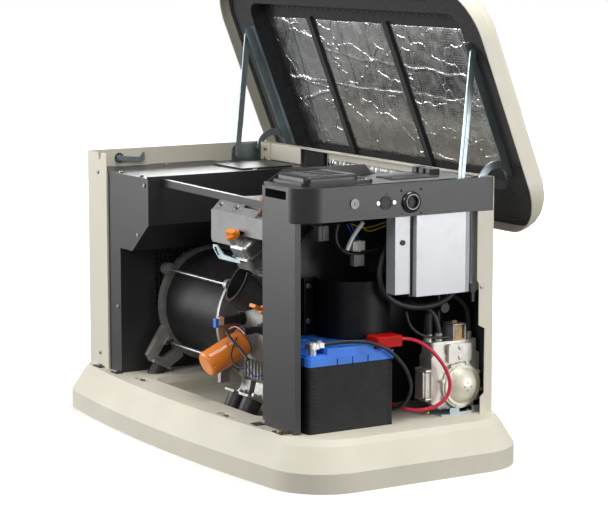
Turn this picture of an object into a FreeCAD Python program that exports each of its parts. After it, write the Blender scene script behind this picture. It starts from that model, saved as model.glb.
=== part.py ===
"""Home standby generator, lid open and front and right service panels off.

Units mm. X runs along the long side (right end is +X), the service side is -Y,
the hinge side is +Y, +Z is up. Origin: centre of the underside of the base.
"""
import FreeCAD, Part
import math
import os

V = FreeCAD.Vector
os.makedirs("parts", exist_ok=True)

# ---- driving dimensions -------------------------------------------------
HX, HY = 485.0, 243.5          # half length and half depth of the enclosure
DECK_Z, TOP_Z = 105.0, 620.0   # top of the base, top edge of the walls
SHEET = 2.0                    # wall sheet
BASE_X, BASE_F, BASE_B = 578.0, 296.0, 300.0   # half length, front, back
BASE_BOW, BASE_R = 26.0, 130.0
SKIRT_Z, SHOULDER_Z = 42.0, 92.0
SHOULDER_IN, CROWN_IN = 26.0, 36.0   # how far the base steps in at each level
BOLT_SPOTS = ((-236.0, -232.0), (205.0, -259.0))   # hold-down bolts on the service side
WELL = (-228.0, 262.0, -200.0, 185.0, 70.0)   # engine well x0 x1 y0 y1 floor
ANCHOR_X, ANCHOR_Y, ANCHOR_R = 440.0, 236.0, 6.5
FUEL_ENTRY, CONDUIT_ENTRY = (355.0, 330.0, 17.0), (345.0, 200.0, 22.0)   # x z r

AXIS_Y, AXIS_Z = -15.0, 262.0  # crankshaft line, along X
RING_X = -290.0                # alternator end bell plane
STATOR_R, RING_R = 129.0, 140.0
SHAFT_R, RUN_FIT = 20.0, 0.05
BANK_LEAN = 32.0               # degrees of each bank from upright
BARREL_S, HEAD_S, COVER_S, CROWN_S = 104.0, 196.0, 216.0, 254.0   # from the crank axis
BANK_X, CAP_X, CAP_T = 118.0, 102.0, -26.0
DRUM_C, DRUM_D = (60.0, -148.0, 366.0), (-0.2, -0.85, 0.48)
STICK_P, STICK_D = (172.0, -112.0, 302.0), (0.0, -0.9, 0.43589)
MOUNT_D = (0.0, 0.447, 0.894)  # lean of the rubber mounts on the service side
MOUNT_Y = -150.0               # engine mount centre on the well floor

P1, P2 = (222.5, 606.0), (162.0, 590.0)        # hinge pins on the plates, y z
Q1, Q2 = (296.0, 624.0), (192.0, 885.0)        # lid bar pins, lid open, y z
Q1_SHUT = (147.0, 612.0)
LID_OPEN = 68.3                # degrees from shut to open
LID_X, LID_Y, LID_R = 545.0, 290.0, 122.0
LID_LO, LID_EAVE, LID_HI, LID_T = 598.0, 612.0, 698.0, 3.0
LID_ROUND, LID_SLOPE = 46.0, 78.0   # edge radius, run of the slope up to the crown
LINER_Z, CEIL_Z = 622.0, 662.0
PIN_R, LINK_R = 4.0, 8.0

BATT = (297.0, 470.0, -212.0, -4.0, 90.0)      # x0 x1 y0 y1 floor
WALL_X = 288.0                 # bay divider wall
DIV_Z = 609.0
REG_Y, REG_Z = 186.0, 166.0    # regulator diaphragm centre


# ---- helpers ------------------------------------------------------------
def box(x0, x1, y0, y1, z0, z1):
    return Part.makeBox(x1 - x0, y1 - y0, z1 - z0, V(x0, y0, z0))


def cyl(p, d, r, h):
    return Part.makeCylinder(r, h, V(*p), V(*d))


def tube(p, d, r, bore, h):
    return cyl(p, d, r, h).cut(cyl(p, d, bore, h))


def union(*shapes):
    out = shapes[0].multiFuse(list(shapes[1:])) if len(shapes) > 1 else shapes[0]
    return out.removeSplitter()


def prism(points, plane, lo, hi):
    """Polygon in the XY, XZ or YZ plane, pushed along the third axis."""
    place = {
        "XY": lambda a, b: V(a, b, lo),
        "XZ": lambda a, b: V(a, lo, b),
        "YZ": lambda a, b: V(lo, a, b),
    }[plane]
    push = {"XY": V(0, 0, hi - lo), "XZ": V(0, hi - lo, 0), "YZ": V(hi - lo, 0, 0)}[plane]
    loop = [place(a, b) for a, b in points]
    return Part.Face(Part.makePolygon(loop + [loop[0]])).extrude(push)


def along(edge, axis):
    a, b = edge.Vertexes[0].Point, edge.Vertexes[-1].Point
    d = b.sub(a)
    return edge.Length > 1 and abs(abs(d.dot(axis)) - edge.Length) < 1e-3


def rounded(x0, x1, y0, y1, z0, z1, r, axis=V(0, 0, 1)):
    b = box(x0, x1, y0, y1, z0, z1)
    return b.makeFillet(r, [e for e in b.Edges if along(e, axis)])


def soften(shape, r, low, high):
    """Round every edge whose middle lies between the two corners."""
    pick = []
    for e in shape.Edges:
        m = e.valueAt((e.FirstParameter + e.LastParameter) / 2)
        if all(low[i] <= m[i] <= high[i] for i in range(3)):
            pick.append(e)
    return shape.makeFillet(r, pick)


def plate_yz(x0, x1, points):
    return prism(points, "YZ", x0, x1)


def group(shapes):
    flat = []
    for s in shapes:
        flat += s.Solids
    return Part.makeCompound(flat)


def mirror(shape):
    return shape.mirror(V(0, 0, 0), V(1, 0, 0))


def both(shape):
    return group([shape, mirror(shape)])


def save(node, shape):
    shape.exportStep("parts/%s.step" % node)


def hex_bolt(p, d, af, head, shank_r=0.0, shank=0.0):
    """Flange bolt: washer face, hexagon, and a shank below if asked for."""
    axis = V(*d)
    flange = cyl(p, d, af * 0.68, head * 0.25)
    pts = [V(af * 0.577 * math.cos(math.radians(60 * k)),
             af * 0.577 * math.sin(math.radians(60 * k)), 0) for k in range(6)]
    hexa = Part.Face(Part.makePolygon(pts + [pts[0]])).extrude(V(0, 0, head * 0.8))
    hexa.Placement = FreeCAD.Placement(
        V(*p) + axis * head * 0.2, FreeCAD.Rotation(V(0, 0, 1), axis))
    out = flange.fuse(hexa)
    if shank:
        out = out.fuse(cyl((V(*p) - axis * shank), d, shank_r, shank))
    return out.removeSplitter()


def screw(p, d, r=4.5, h=3.0):
    """Pan head screw with a cross recess."""
    axis = V(*d)
    head = cyl(p, d, r, h)
    top = [e for e in head.Edges if abs((e.CenterOfMass - V(*p)).dot(axis) - h) < 1e-3
           and e.Length > r]
    head = head.makeFillet(h * 0.45, top)
    turn = FreeCAD.Rotation(V(0, 0, 1), axis)
    for a, b in ((r * 1.1, r * 0.24), (r * 0.24, r * 1.1)):
        slot = Part.makeBox(a, b, h, V(-a / 2, -b / 2, h * 0.55))
        slot.Placement = FreeCAD.Placement(V(*p), turn)
        head = head.cut(slot)
    return head


def pipe(points, dia, name):
    """Round cord on straight runs joined by tangent arcs."""
    pts = [V(*p) for p in points]
    edges, last, radii = [], pts[0], []
    for i in range(1, len(pts) - 1):
        a, b = (pts[i] - pts[i - 1]), (pts[i + 1] - pts[i])
        la, lb = a.Length, b.Length
        a.normalize()
        b.normalize()
        half = math.acos(max(-1.0, min(1.0, a.dot(b)))) / 2
        back = 0.45 * min(la, lb)
        radii.append(back / math.tan(half))
        s, e = pts[i] - a * back, pts[i] + b * back
        mid = (b - a)
        mid.normalize()
        depth = radii[-1] / math.cos(half) - radii[-1]
        edges.append(Part.LineSegment(last, s).toShape())
        edges.append(Part.Arc(s, pts[i] + mid * depth, e).toShape())
        last = e
    edges.append(Part.LineSegment(last, pts[-1]).toShape())
    path = Part.Wire(edges)
    start = pts[1] - pts[0]
    ring = Part.Wire(Part.Circle(pts[0], start, dia / 2).toShape())
    solid = Part.Wire(path).makePipeShell([ring], True, True)
    print(name, "radii", [round(r) for r in radii], "length", round(path.Length))
    return solid


def open_lid(shape):
    """Carry a lid piece from the shut place to the open one."""
    out = shape.copy()
    out.translate(V(0, -Q1_SHUT[0], -Q1_SHUT[1]))
    out.rotate(V(0, 0, 0), V(1, 0, 0), -LID_OPEN)
    out.translate(V(0, Q1[0], Q1[1]))
    return out


# ---- base ---------------------------------------------------------------
def arc(p, q, r, z):
    return Part.Arc(V(*p, z), V(*q, z), V(*r, z)).toShape()


def line(p, q, z):
    return Part.LineSegment(V(*p, z), V(*q, z)).toShape()


def base_outline(inset, z):
    """Plan outline with a bowed service side, stepped in all round."""
    x, f, b = BASE_X - inset, BASE_F - inset, BASE_B - inset
    r = BASE_R - inset * 0.5
    k = r * (1 - math.sqrt(0.5))
    return Part.Wire([
        arc((-x + r, -f), (0, -f - BASE_BOW), (x - r, -f), z),
        arc((x - r, -f), (x - k, -f + k), (x, -f + r), z),
        line((x, -f + r), (x, b - r), z),
        arc((x, b - r), (x - k, b - k), (x - r, b), z),
        line((x - r, b), (-x + r, b), z),
        arc((-x + r, b), (-x + k, b - k), (-x, b - r), z),
        line((-x, b - r), (-x, -f + r), z),
        arc((-x, -f + r), (-x + k, -f + k), (-x + r, -f), z),
    ])


def loft(*wires):
    return Part.makeLoft(list(wires), True, True)


def base_tray():
    skirt = Part.Face(base_outline(0, 0)).extrude(V(0, 0, SKIRT_Z))
    slope = loft(base_outline(0, SKIRT_Z), base_outline(SHOULDER_IN, SHOULDER_Z))
    crown = loft(base_outline(SHOULDER_IN, SHOULDER_Z), base_outline(CROWN_IN, DECK_Z))
    body = union(skirt, slope, crown)
    x0, x1, y0, y1, z0 = WELL
    well = rounded(x0, x1, y0, y1, z0, DECK_Z + 1, 30)
    lip = loft(rounded_wire(x0, x1, y0, y1, 30, DECK_Z - 14),
               rounded_wire(x0 - 10, x1 + 10, y0 - 10, y1 + 10, 40, DECK_Z + 0.01))
    b = BATT
    seat = rounded(b[0] - 2, b[1] + 2, b[2] - 2, b[3] + 2, b[4], DECK_Z + 1, 8)
    body = body.cut(well).cut(lip).cut(seat)
    for sx in (-1, 1):
        hollow = rounded(min(sx * 22, sx * 540), max(sx * 22, sx * 540), -254, 262, -1, 58, 60)
        posts = [cyl((sx * ANCHOR_X, s * ANCHOR_Y, -2), (0, 0, 1), 24, 62) for s in (-1, 1)]
        body = body.cut(hollow.cut(posts[0]).cut(posts[1]))
    for x in (-ANCHOR_X, ANCHOR_X):
        for y in (-ANCHOR_Y, ANCHOR_Y):
            body = body.cut(cyl((x, y, -1), (0, 0, 1), ANCHOR_R, 41))
    for x, y in BOLT_SPOTS:
        pocket = rounded(x - 30, x + 30, y - 11.5, y + 11.5, DECK_Z - 8, DECK_Z + 1, 11)
        body = body.cut(pocket)
    return body.cut(rounded(362, 378, -263, -258, DECK_Z - 6, DECK_Z + 1, 2.4))


def rounded_wire(x0, x1, y0, y1, r, z):
    b = rounded(x0, x1, y0, y1, z, z + 2, r)
    face = [f for f in b.Faces if abs(f.CenterOfMass.z - z) < 1e-6][0]
    return face.OuterWire


def base_bolts():
    return [hex_bolt((x, y, DECK_Z - 8), (0, 0, 1), 11, 7) for x, y in BOLT_SPOTS]


# ---- enclosure ----------------------------------------------------------
def left_wall():
    side = box(-HX, -HX + SHEET, -HY, HY - SHEET, DECK_Z, TOP_Z)
    face = box(-HX, -388, -HY, -HY + SHEET, DECK_Z, TOP_Z)
    hem = box(-390, -388, -HY, -HY + 5, DECK_Z, 575)
    foot = box(-HX, -388, -HY, -HY + 5, DECK_Z, DECK_Z + SHEET)
    notch = prism([(-436, TOP_Z + 1), (-428, 603), (-420, 603), (-412, TOP_Z + 1)],
                  "XZ", -HY - 1, -HY + 3)
    wall = union(side, face, hem, foot).cut(notch)
    bore = cyl((-HX - 1, -161, 598), (1, 0, 0), 9.5, 5)
    return wall.cut(bore)


def back_wall():
    x = HX
    sheet = box(-x, x, HY - SHEET, HY, DECK_Z, TOP_Z)
    lip = box(-455, 452, HY - 22, HY - SHEET, TOP_Z - SHEET, TOP_Z)
    leg = box(-455, -272, HY - 22, HY - 20, TOP_Z - 40, TOP_Z - SHEET)
    tab = box(-457, -412, HY - 24, HY - 22, TOP_Z - 52, TOP_Z)
    wall = union(sheet, lip, leg, tab)
    for x, z, r in (FUEL_ENTRY, CONDUIT_ENTRY):
        wall = wall.cut(cyl((x, HY - 5, z), (0, 1, 0), r, 10))
    for k in range(9):
        for j in range(3):
            wall = wall.cut(rounded(-300 + 34 * k, -276 + 34 * k, HY - 5, HY + 1,
                                    150 + 22 * j, 158 + 22 * j, 3.9, V(0, 1, 0)))
    return wall


def right_rear_post():
    face = plate_yz(HX - SHEET, HX, [
        (HY - SHEET, DECK_Z), (HY - SHEET, 547), (202, 547), (202, 398), (207, 390),
        (207, 300), (223, 292), (223, 150), (213, 142), (213, DECK_Z)])
    hem = box(HX - 12, HX - SHEET, HY - 2 * SHEET, HY - SHEET, DECK_Z, 547)
    return union(face, hem)


def intake_duct():
    t = SHEET
    y0, y1 = -238.0, 232.0
    x0, x1, x2, x3 = -479.5, -330.0, -270.0, -188.0
    front = prism([(x0, 577), (x3, 577), (x3, 471), (x2, 403), (x1, 403), (x1, DECK_Z),
                   (x0, DECK_Z)], "XZ", y0, y0 + t)
    side = box(x3 - t, x3, y0, y1, 471, 577)
    slope = prism([(x3 - t, 471), (x3, 471), (x2, 403), (x2 - t, 404)], "XZ", y0, y1)
    shelf = box(x1 - t, x2, y0, y1, 403, 403 + t)
    low = box(x1 - t, x1, y0, y1, DECK_Z, 403)
    back = prism([(x0, 577), (x3, 577), (x3, 471), (x2, 403), (x1, 403), (x1, DECK_Z),
                  (x0, DECK_Z)], "XZ", y1 - t, y1)
    window = rounded(x1 - 4, x1 + 1, -150, 120, 250, 396, 8, V(1, 0, 0))
    shell = union(front, side, slope, shelf, low, back).cut(window)
    mesh = box(x1 - t, x1, -150, 120, 250, 396)
    for k in range(26):
        y = -145 + k * 10.2
        mesh = mesh.cut(box(x1 - 4, x1 + 1, y, y + 7.2, 255, 391))
    rungs = [box(x1 - t, x1 - t / 2, -150, 120, 262 + 12 * k, 265 + 12 * k) for k in range(11)]
    return union(shell, mesh, *rungs)


def duct_top_plate():
    top = box(-483, -188, -240, 214, 577, 579)
    notch = union(box(-484, -455, 95, 230, 570, 585), box(-484, -470, -182, -80, 570, 585))
    lip = box(-190, -188, -240, 214, 579, 583)
    stiff = box(-380, -240, 40, 180, 579, 583)
    stiff = stiff.makeFillet(3.0, [e for e in stiff.Edges if along(e, V(0, 0, 1))])
    return union(top.cut(notch), lip, stiff)


def front_top_rail():
    length = math.hypot(522, 24)
    web = box(0, length, 0, 2, -16, 0)
    up = box(0, length, 0, 10, -2, 0)
    low = box(0, length, 0, 10, -16, -14)
    rail = union(web, up, low)
    rail.rotate(V(0, 0, 0), V(0, 0, 1), -math.degrees(math.atan2(24, 522)))
    rail.translate(V(-188, -205, 577))
    return rail.cut(box(334.5, 400, -300, 0, 500, 700))


def bay_divider():
    t = SHEET
    face = box(335, 459, -240, -240 + t, DECK_Z, 592)
    hem = box(459 - t, 459, -240 + t, -226, DECK_Z, 592)
    side = box(335, 335 + t, -240 + t, -214, DECK_Z, DIV_Z)
    jog = box(WALL_X, 335, -216, -214, DECK_Z, DIV_Z)
    wall = box(WALL_X, WALL_X + t, -214, 220, DECK_Z, DIV_Z)
    foot = rounded(400, 440, -262, -240, DECK_Z, DECK_Z + t, 3)
    toe = rounded(312, 337, -262, -238, DECK_Z, DECK_Z + t, 3)
    body = union(face, hem, side, jog, wall, foot, toe)
    body = body.cut(box(438, 470, -245, -220, 546, 600))
    window = cyl((WALL_X - 1, AXIS_Y, AXIS_Z + 20), (1, 0, 0), 70, 5)
    return body.cut(window)


def control_band():
    z0, z1, t, r = 548.0, 619.0, SHEET, 55.0
    outer = rounded(200, HX, -HY, 400, z0, z1, r)
    inner = rounded(200 - t, HX - t, -HY + t, 400 + t, z0 - 1, z1 + 1, r - t)
    keep = box(HX - r, HX + 1, -HY - 1, HY - SHEET, z0 - 1, z1 + 1)
    band = outer.cut(inner).common(keep)
    for y, z, rad in ((-112, 583, 9.0), (-34, 580, 11.0), (29, 578, 17.0)):
        band = band.cut(cyl((HX - 5, y, z), (1, 0, 0), rad, 8))
    for dy in (-25, 25):
        for dz in (-25, 25):
            band = band.cut(cyl((HX - 5, 29 + dy, 578 + dz), (1, 0, 0), 2.6, 8))
    return band.cut(cyl((HX - 5, -34, 599), (1, 0, 0), 1.6, 8))


def control_deck():
    top = union(box(335, 450, -236, -211.9, DIV_Z, 617),
                box(WALL_X, 450, -212, 219, DIV_Z, 617))
    ridge = [box(350 + 14 * k, 356 + 14 * k, 30, 150, 617, 619.5) for k in range(5)]
    cheek = prism([(-205, 617), (-165, 640), (40, 640), (60, 617)], "YZ", WALL_X, WALL_X + 3)
    plugs = [rounded(296 + 26 * k, 316 + 26 * k, 158, 184, 617, 629, 3) for k in range(3)]
    return union(top, cheek, *ridge, *plugs)


def controller_housing():
    low = rounded(294, 430, -200, -24, 617, 624, 16)
    dome = rounded(302, 424, -192, -60, 624, 637, 14)
    dome = soften(dome, 8, (290, -210, 636), (440, 0, 638))
    body = union(low, dome)
    body = body.cut(rounded(300, 426, -56, -30, 622, 625, 5))
    for k in range(4):
        body = body.cut(box(310 + 28 * k, 330 + 28 * k, -150, -90, 635.5, 638))
    return body


def controller_screen():
    return rounded(302, 424, -54, -32, 622, 623.5, 4)


def status_window():
    x = HX
    rim = tube((x, -34, 580), (1, 0, 0), 14.5, 10.5, 2.5)
    barrel = cyl((x - 16, -34, 580), (1, 0, 0), 10.9, 16)
    lens = cyl((x, -34, 580), (1, 0, 0), 10.5, 1.2)
    return union(rim, barrel, lens)


def stop_bezel():
    x = HX
    ring = Part.makeTorus(15.5, 8.0, V(x, 29, 578), V(1, 0, 0))
    ring = ring.cut(box(x - 20, x, -20, 80, 540, 620))
    flange = tube((x, 29, 578), (1, 0, 0), 23.5, 12, 1.5)
    sleeve = tube((x - 6, 29, 578), (1, 0, 0), 16.9, 12, 6)
    cup = cyl((x - 7, 29, 578), (1, 0, 0), 16.9, 1.5)
    core = cyl((x - 5.5, 29, 578), (1, 0, 0), 12, 40)
    return union(ring.cut(core), flange, sleeve, cup)


def stop_button():
    cap = cyl((HX - 2.5, 29, 578), (1, 0, 0), 12 - RUN_FIT, 5)
    return cap.cut(tube((HX + 1.5, 29, 578), (1, 0, 0), 8.5, 7.5, 2))


def lock_bodies():
    key = tube((HX, -112, 583), (1, 0, 0), 10.5, 6.05, 2.5)
    key = union(key, tube((HX - 18, -112, 583), (1, 0, 0), 8.9, 6.05, 18),
                cyl((HX - 20, -112, 583), (1, 0, 0), 8.9, 2))
    latch = tube((-483, -161, 598), (1, 0, 0), 12, 5.05, 2)
    latch = union(latch, cyl((-489, -161, 598), (1, 0, 0), 13, 4),
                  tube((-485, -161, 598), (1, 0, 0), 9.4, 5.05, 2))
    return group([key, latch])


def lock_plug():
    plug = cyl((HX - 17, -112, 583), (1, 0, 0), 6.0, 19)
    slot = box(HX - 6, HX + 3, -112.8, -111.2, 579.5, 586.5)
    return plug.cut(slot)


def latch_cam():
    post = cyl((-484.6, -161, 598), (1, 0, 0), 5.0, 7.2)
    arm = prism([(-169, 592), (-169, 604), (-112, 598), (-104, 597), (-104, 588), (-114, 587)],
                "YZ", -480.6, -478.6)
    hook = prism([(-108, 597), (-98, 609), (-94, 609), (-94, 589), (-104, 588)],
                 "YZ", -480.6, -478.6)
    nut = hex_bolt((-478.6, -161, 598), (1, 0, 0), 11, 4)
    return union(post, arm, hook, nut)


def module_cover():
    z0, z1, t = 381.0, 550.0, 2.0
    side = box(434, 470, 0, t, z0, z1)
    flange = box(468, 470, t, 37, z0, z1)
    hat = prism([(468, 37), (470, 37), (470, 44), (482, 46), (482, 172), (479, 184),
                 (470, 192), (470, 232), (468, 232), (468, 190), (477, 182), (480, 171),
                 (480, 48), (468, 46)], "XY", z0 - 6, z1)
    far = box(434, 468, 230, 232, z0, z1)
    back = box(434, 436, t, 230, z0, z1)
    floor = prism([(436, t), (468, t), (468, 46), (480, 48), (480, 171), (477, 182),
                   (468, 190), (468, 230), (436, 230)], "XY", z0, z0 + t)
    body = union(side, flange, hat, far, back, floor)
    for deep, y in ((469, 37), (469.4, 190)):
        body = body.cut(box(deep, 471, y, y + 7, z0 - 7, z1 + 1))
    tie = box(WALL_X + 2, 434, 60, 170, 530, 532)
    return union(body, tie)


def air_canister():
    x, y, r, z0, z1 = 335, -20, 82, 284, 405
    can = tube((x, y, z0), (0, 0, 1), r, r - 2.5, z1 - z0)
    floor = cyl((x, y, z0), (0, 0, 1), r, 2.5)
    can = union(can, floor).common(box(WALL_X + 2, 500, -200, 200, 200, 500))
    strap = box(WALL_X + 2, 306, -124, -100, z0, z1)
    strap = strap.cut(cyl((x, y, z0 - 1), (0, 0, 1), r - 0.5, z1 - z0 + 2))
    return union(can, strap)


# ---- battery ------------------------------------------------------------
def battery_case():
    x0, x1, y0, y1, z0 = BATT
    body = rounded(x0, x1, y0, y1, z0, z0 + 157, 5)
    ribs = [box(x1 - 0.8, x1 + 1, y, y + 1.6, z0 + 8, z0 + 150) for y in (y0 + 9, y1 - 9)]
    for r in ribs:
        body = body.cut(r)
    for k in range(9):
        z = z0 + 14 + 16 * k
        body = body.cut(box(x1 - 0.8, x1 + 1, y0 + 12, y0 + 21, z, z + 1.5))
        body = body.cut(box(x0 + 2, x1 - 2, y0 - 1, y0 + 0.8, z, z + 1.5))
    return body


def battery_cover():
    x0, x1, y0, y1, z0 = BATT
    z = z0 + 157
    low = rounded(x0 - 2, x1 + 2, y0 - 2, y1 + 2, z, z + 18, 6)
    top = rounded(x0 + 3, x1 - 3, y0 + 3, y1 - 3, z + 18, z + 34, 6)
    body = union(low, top)
    step = rounded(x1 - 46, x1 + 5, y0 - 5, y0 + 46, z + 22, z + 40, 8)
    back = rounded(x1 - 46, x1 + 5, y1 - 46, y1 + 5, z + 22, z + 40, 8)
    body = body.cut(step).cut(back)
    for k in range(3):
        y = y0 + 66 + 38 * k
        body = body.cut(box(x1 - 1, x1 + 3, y, y + 3, z - 1, z + 13))
        body = body.cut(cyl((x0 + 60, y, z + 31), (0, 0, 1), 12, 5))
    return body


def battery_posts():
    """Lead posts with their clamps; the covered one sits lower on its post."""
    foot = BATT[4] + 179
    out = []
    for x, y, z in ((447, -190, foot + 12.5), (447, -27, foot + 2.5)):
        post = cyl((x, y, foot), (0, 0, 1), 9, z + 13.5 - foot)
        clamp = rounded(x - 13, x + 13, y - 12, y + 12, z, z + 10.5, 5)
        ear = box(x - 9, x + 5, y, y + 26, z, z + 10.5)
        nut = hex_bolt((x - 2, y + 18, z + 10.5), (0, 0, 1), 10, 5)
        out.append(union(post, clamp, ear, nut))
    return group(out)


def terminal_boot():
    z = BATT[4] + 179
    outer = rounded(425, 469, -44, 22, z + 1.5, z + 25, 5)
    outer = soften(outer, 4, (420, -60, z + 24), (470, 42, z + 26))
    inner = rounded(431, 463, -42, 3, z, z + 21, 3)
    return outer.cut(inner)


# ---- fuel side ----------------------------------------------------------
def regulator_body():
    trunk = rounded(402, 448, 110, 236, 128, 236, 8, V(1, 0, 0))
    neck = rounded(404, 446, 112, 232, 236, 264, 6, V(0, 0, 1))
    face = cyl((448, REG_Y, REG_Z), (1, 0, 0), 50, 6)
    pod = rounded(408, 444, 98, 110, 138, 206, 6, V(0, 1, 0))
    lid = rounded(411, 441, 93, 98, 142, 202, 5, V(0, 1, 0))
    bosses = [cyl((408 + a, 96, 141 + b), (0, 1, 0), 4, 14) for a in (0, 36) for b in (0, 62)]
    ports = [cyl((425, y, 264), (0, 0, 1), 9, 16) for y in (116, 143)]
    turns = [math.radians(a) for a in range(30, 390, 45)]
    ears = [cyl((448, REG_Y + 50 * math.cos(a), REG_Z + 50 * math.sin(a)), (1, 0, 0), 4.8, 8)
            for a in turns]
    foot = box(408, 444, 130, 215, 118, 128)
    step = rounded(448, 456, 150, 210, 218, 258, 5, V(1, 0, 0))
    body = union(trunk, neck, face, pod, lid, foot, step, *bosses, *ports, *ears)
    cap = [screw((456, y, z), (1, 0, 0), 5, 3) for y, z in ((180, 250), (180, 228))]
    elbow = cyl((425, 222, 264), (0, 0, 1), 9, 14)
    return union(body, elbow, *cap)


def regulator_diaphragm():
    x = 454.0
    rim = cyl((x, REG_Y, REG_Z), (1, 0, 0), 45, 4)
    ball = Part.makeSphere(48, V(x - 24, REG_Y, REG_Z))
    dome = ball.common(cyl((x + 4, REG_Y, REG_Z), (1, 0, 0), 43, 30))
    cover = union(rim, dome)
    for dy, dz in ((0, 8), (8, 0), (0, -8), (-8, 0)):
        cover = cover.cut(cyl((x + 16, REG_Y + dy, REG_Z + dz), (1, 0, 0), 1.8, 20))
    return cover


def solenoid_coil():
    y, z, h = 182.0, 264.0, 36.0
    frame = box(410, 449, y - 16.5, y + 16.5, z, z + h)
    frame = frame.cut(box(400, 460, y - 14, y + 14, z + 3, z + h - 3))
    coil = rounded(414, 446, y - 12, y + 12, z + 3, z + h - 3, 5, V(0, 0, 1))
    core = cyl((430, y, z + h), (0, 0, 1), 6, 5)
    return union(frame, coil, core)


def zinc_brackets():
    z = DECK_Z + 3
    foot = union(box(400, 468, 124, 228, DECK_Z, z), box(465, 468, 146, 170, z, 121),
                 box(465, 468, 204, 228, z, 121), box(465, 468, 146, 228, z, 111),
                 box(408, 444, 134, 212, 115, 118), box(405, 408, 134, 212, z, 118))
    eye = prism([(12, 448), (28, 449), (58, 431), (131, 425), (133, 420), (38, 419), (12, 440)],
                "XZ", -181, -178)
    slot = prism([(18, 444), (26, 444), (40, 428), (36, 425), (18, 438)], "XZ", -190, -170)
    strap = box(60, 128, -180, -174, 420, 424)
    return group([foot, union(eye.cut(slot), strap)])


def fuel_hose_long():
    return pipe([(425, 222, 278), (425, 224, 318), (424, 204, 350), (408, 158, 372),
                 (370, 124, 390), (326, 112, 396), (WALL_X + 2, 112, 396)],
                15.0, "fuel_hose_long")


def fuel_hose_short():
    return pipe([(425, 143, 280), (424, 140, 314), (412, 116, 338), (375, 92, 350),
                 (330, 84, 346), (WALL_X + 2, 88, 340)], 15.0, "fuel_hose_short")


def wiring_loop():
    return pipe([(WALL_X + 2, 70, 470), (350, 62, 484), (400, 32, 484), (424, -2, 458),
                 (430, -15, 422), (431, -8, 386), (433, 22, 358), (438, 66, 344),
                 (444, 110, 344), (451, 148, 356), (455, 172, 381)], 13.0, "wiring_loop")


def battery_lead_black():
    return pipe([(445, -164, 287), (452, -132, 290), (466, -98, 291), (480, -62, 287),
                 (485, -26, 270), (484, 8, 240), (474, 36, 205), (460, 51, 168),
                 (446, 42, 136), (415, 24, 122), (360, 14, 116), (WALL_X + 2, 16, 114)],
                8.0, "battery_lead_black")


def battery_lead_red():
    return pipe([(447, 22, 283), (449, 44, 281.5), (456, 68, 275), (465, 94, 257),
                 (472, 118, 229), (475, 135, 200), (475, 142, 171), (472, 132, 143), (462, 106, 126),
                 (446, 72, 120), (420, 46, 126), (362, 38, 132), (WALL_X + 2, 42, 134)],
                8.0, "battery_lead_red")


# ---- alternator and engine ---------------------------------------------
def polar(r, deg):
    a = math.radians(deg)
    return AXIS_Y + r * math.cos(a), AXIS_Z + r * math.sin(a)


def end_bell():
    x = RING_X
    ring = tube((x - 12, AXIS_Y, AXIS_Z), (1, 0, 0), RING_R, 121, 20)
    hub = tube((x - 12, AXIS_Y, AXIS_Z), (1, 0, 0), 44, SHAFT_R + RUN_FIT, 18)
    parts = [ring, hub]
    for a in (0, 72, 144, 216, 288):
        y0, z0 = polar(38, a + 36)
        arm = box(x - 10, x, 0, 92, -9, 9)
        arm.rotate(V(0, 0, 0), V(1, 0, 0), a + 36)
        arm.translate(V(0, y0, z0))
        parts.append(arm)
    for a in (143, 37, 217, 323):
        y, z = polar(146, a)
        parts.append(cyl((x - 14, y, z), (1, 0, 0), 15, 22))
    leg = prism([(-98, 160), (-98, 137), (-139, 112), (-180, 132.5), (-192, 150), (-151, 214),
                 (-132, 226)], "YZ", x - 12, x + 4)
    gap = prism([(-118, 156), (-126, 184), (-143, 178), (-164, 146), (-150, 139)],
                "YZ", x - 20, x + 10)
    pad = prism([(-182, 133.5), (-137, 111), (-134.3, 116.4), (-179.3, 138.9)],
                "YZ", x - 17, x + 15)
    leg2 = mirror_y(leg)
    gap2 = mirror_y(gap)
    pad2 = mirror_y(pad)
    body = union(*parts, leg, pad, leg2, pad2)
    keep = cyl((x - 40, AXIS_Y, AXIS_Z), (1, 0, 0), 121, 80)
    inner = union(hub, *parts[2:7]).common(keep)
    body = body.cut(gap).cut(gap2).cut(keep)
    body = union(body, inner)
    for a in (143, 37, 217, 323):
        y, z = polar(146, a)
        body = body.cut(cyl((x - 20, y, z), (1, 0, 0), 4.5, 40))
    return body


def mirror_y(shape):
    return shape.mirror(V(0, AXIS_Y, 0), V(0, 1, 0))


def stator_can():
    return tube((RING_X + 8, AXIS_Y, AXIS_Z), (1, 0, 0), STATOR_R, STATOR_R - 2.5, 272)


def stator_core():
    core = tube((-240, AXIS_Y, AXIS_Z), (1, 0, 0), STATOR_R - 2.5, 84, 180)
    ends = [tube((x, AXIS_Y, AXIS_Z), (1, 0, 0), 114, 88, 22) for x in (-262, -60)]
    return union(core, *ends)


def engine_adapter():
    plate = tube((-10, AXIS_Y, AXIS_Z), (1, 0, 0), 150, 90, 14)
    plate = plate.cut(tube((-11, AXIS_Y, AXIS_Z), (1, 0, 0), 160, 141, 6))
    out = [plate]
    for a in (143, 37, 217, 323):
        y, z = polar(146, a)
        out.append(cyl((-10, y, z), (1, 0, 0), 13, 14))
    for s in (-1, 1):
        y = AXIS_Y + s * 120
        out.append(box(-8, 4, min(y, y + s * 24), max(y, y + s * 24), 130, 200))
    return union(*out)


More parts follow.
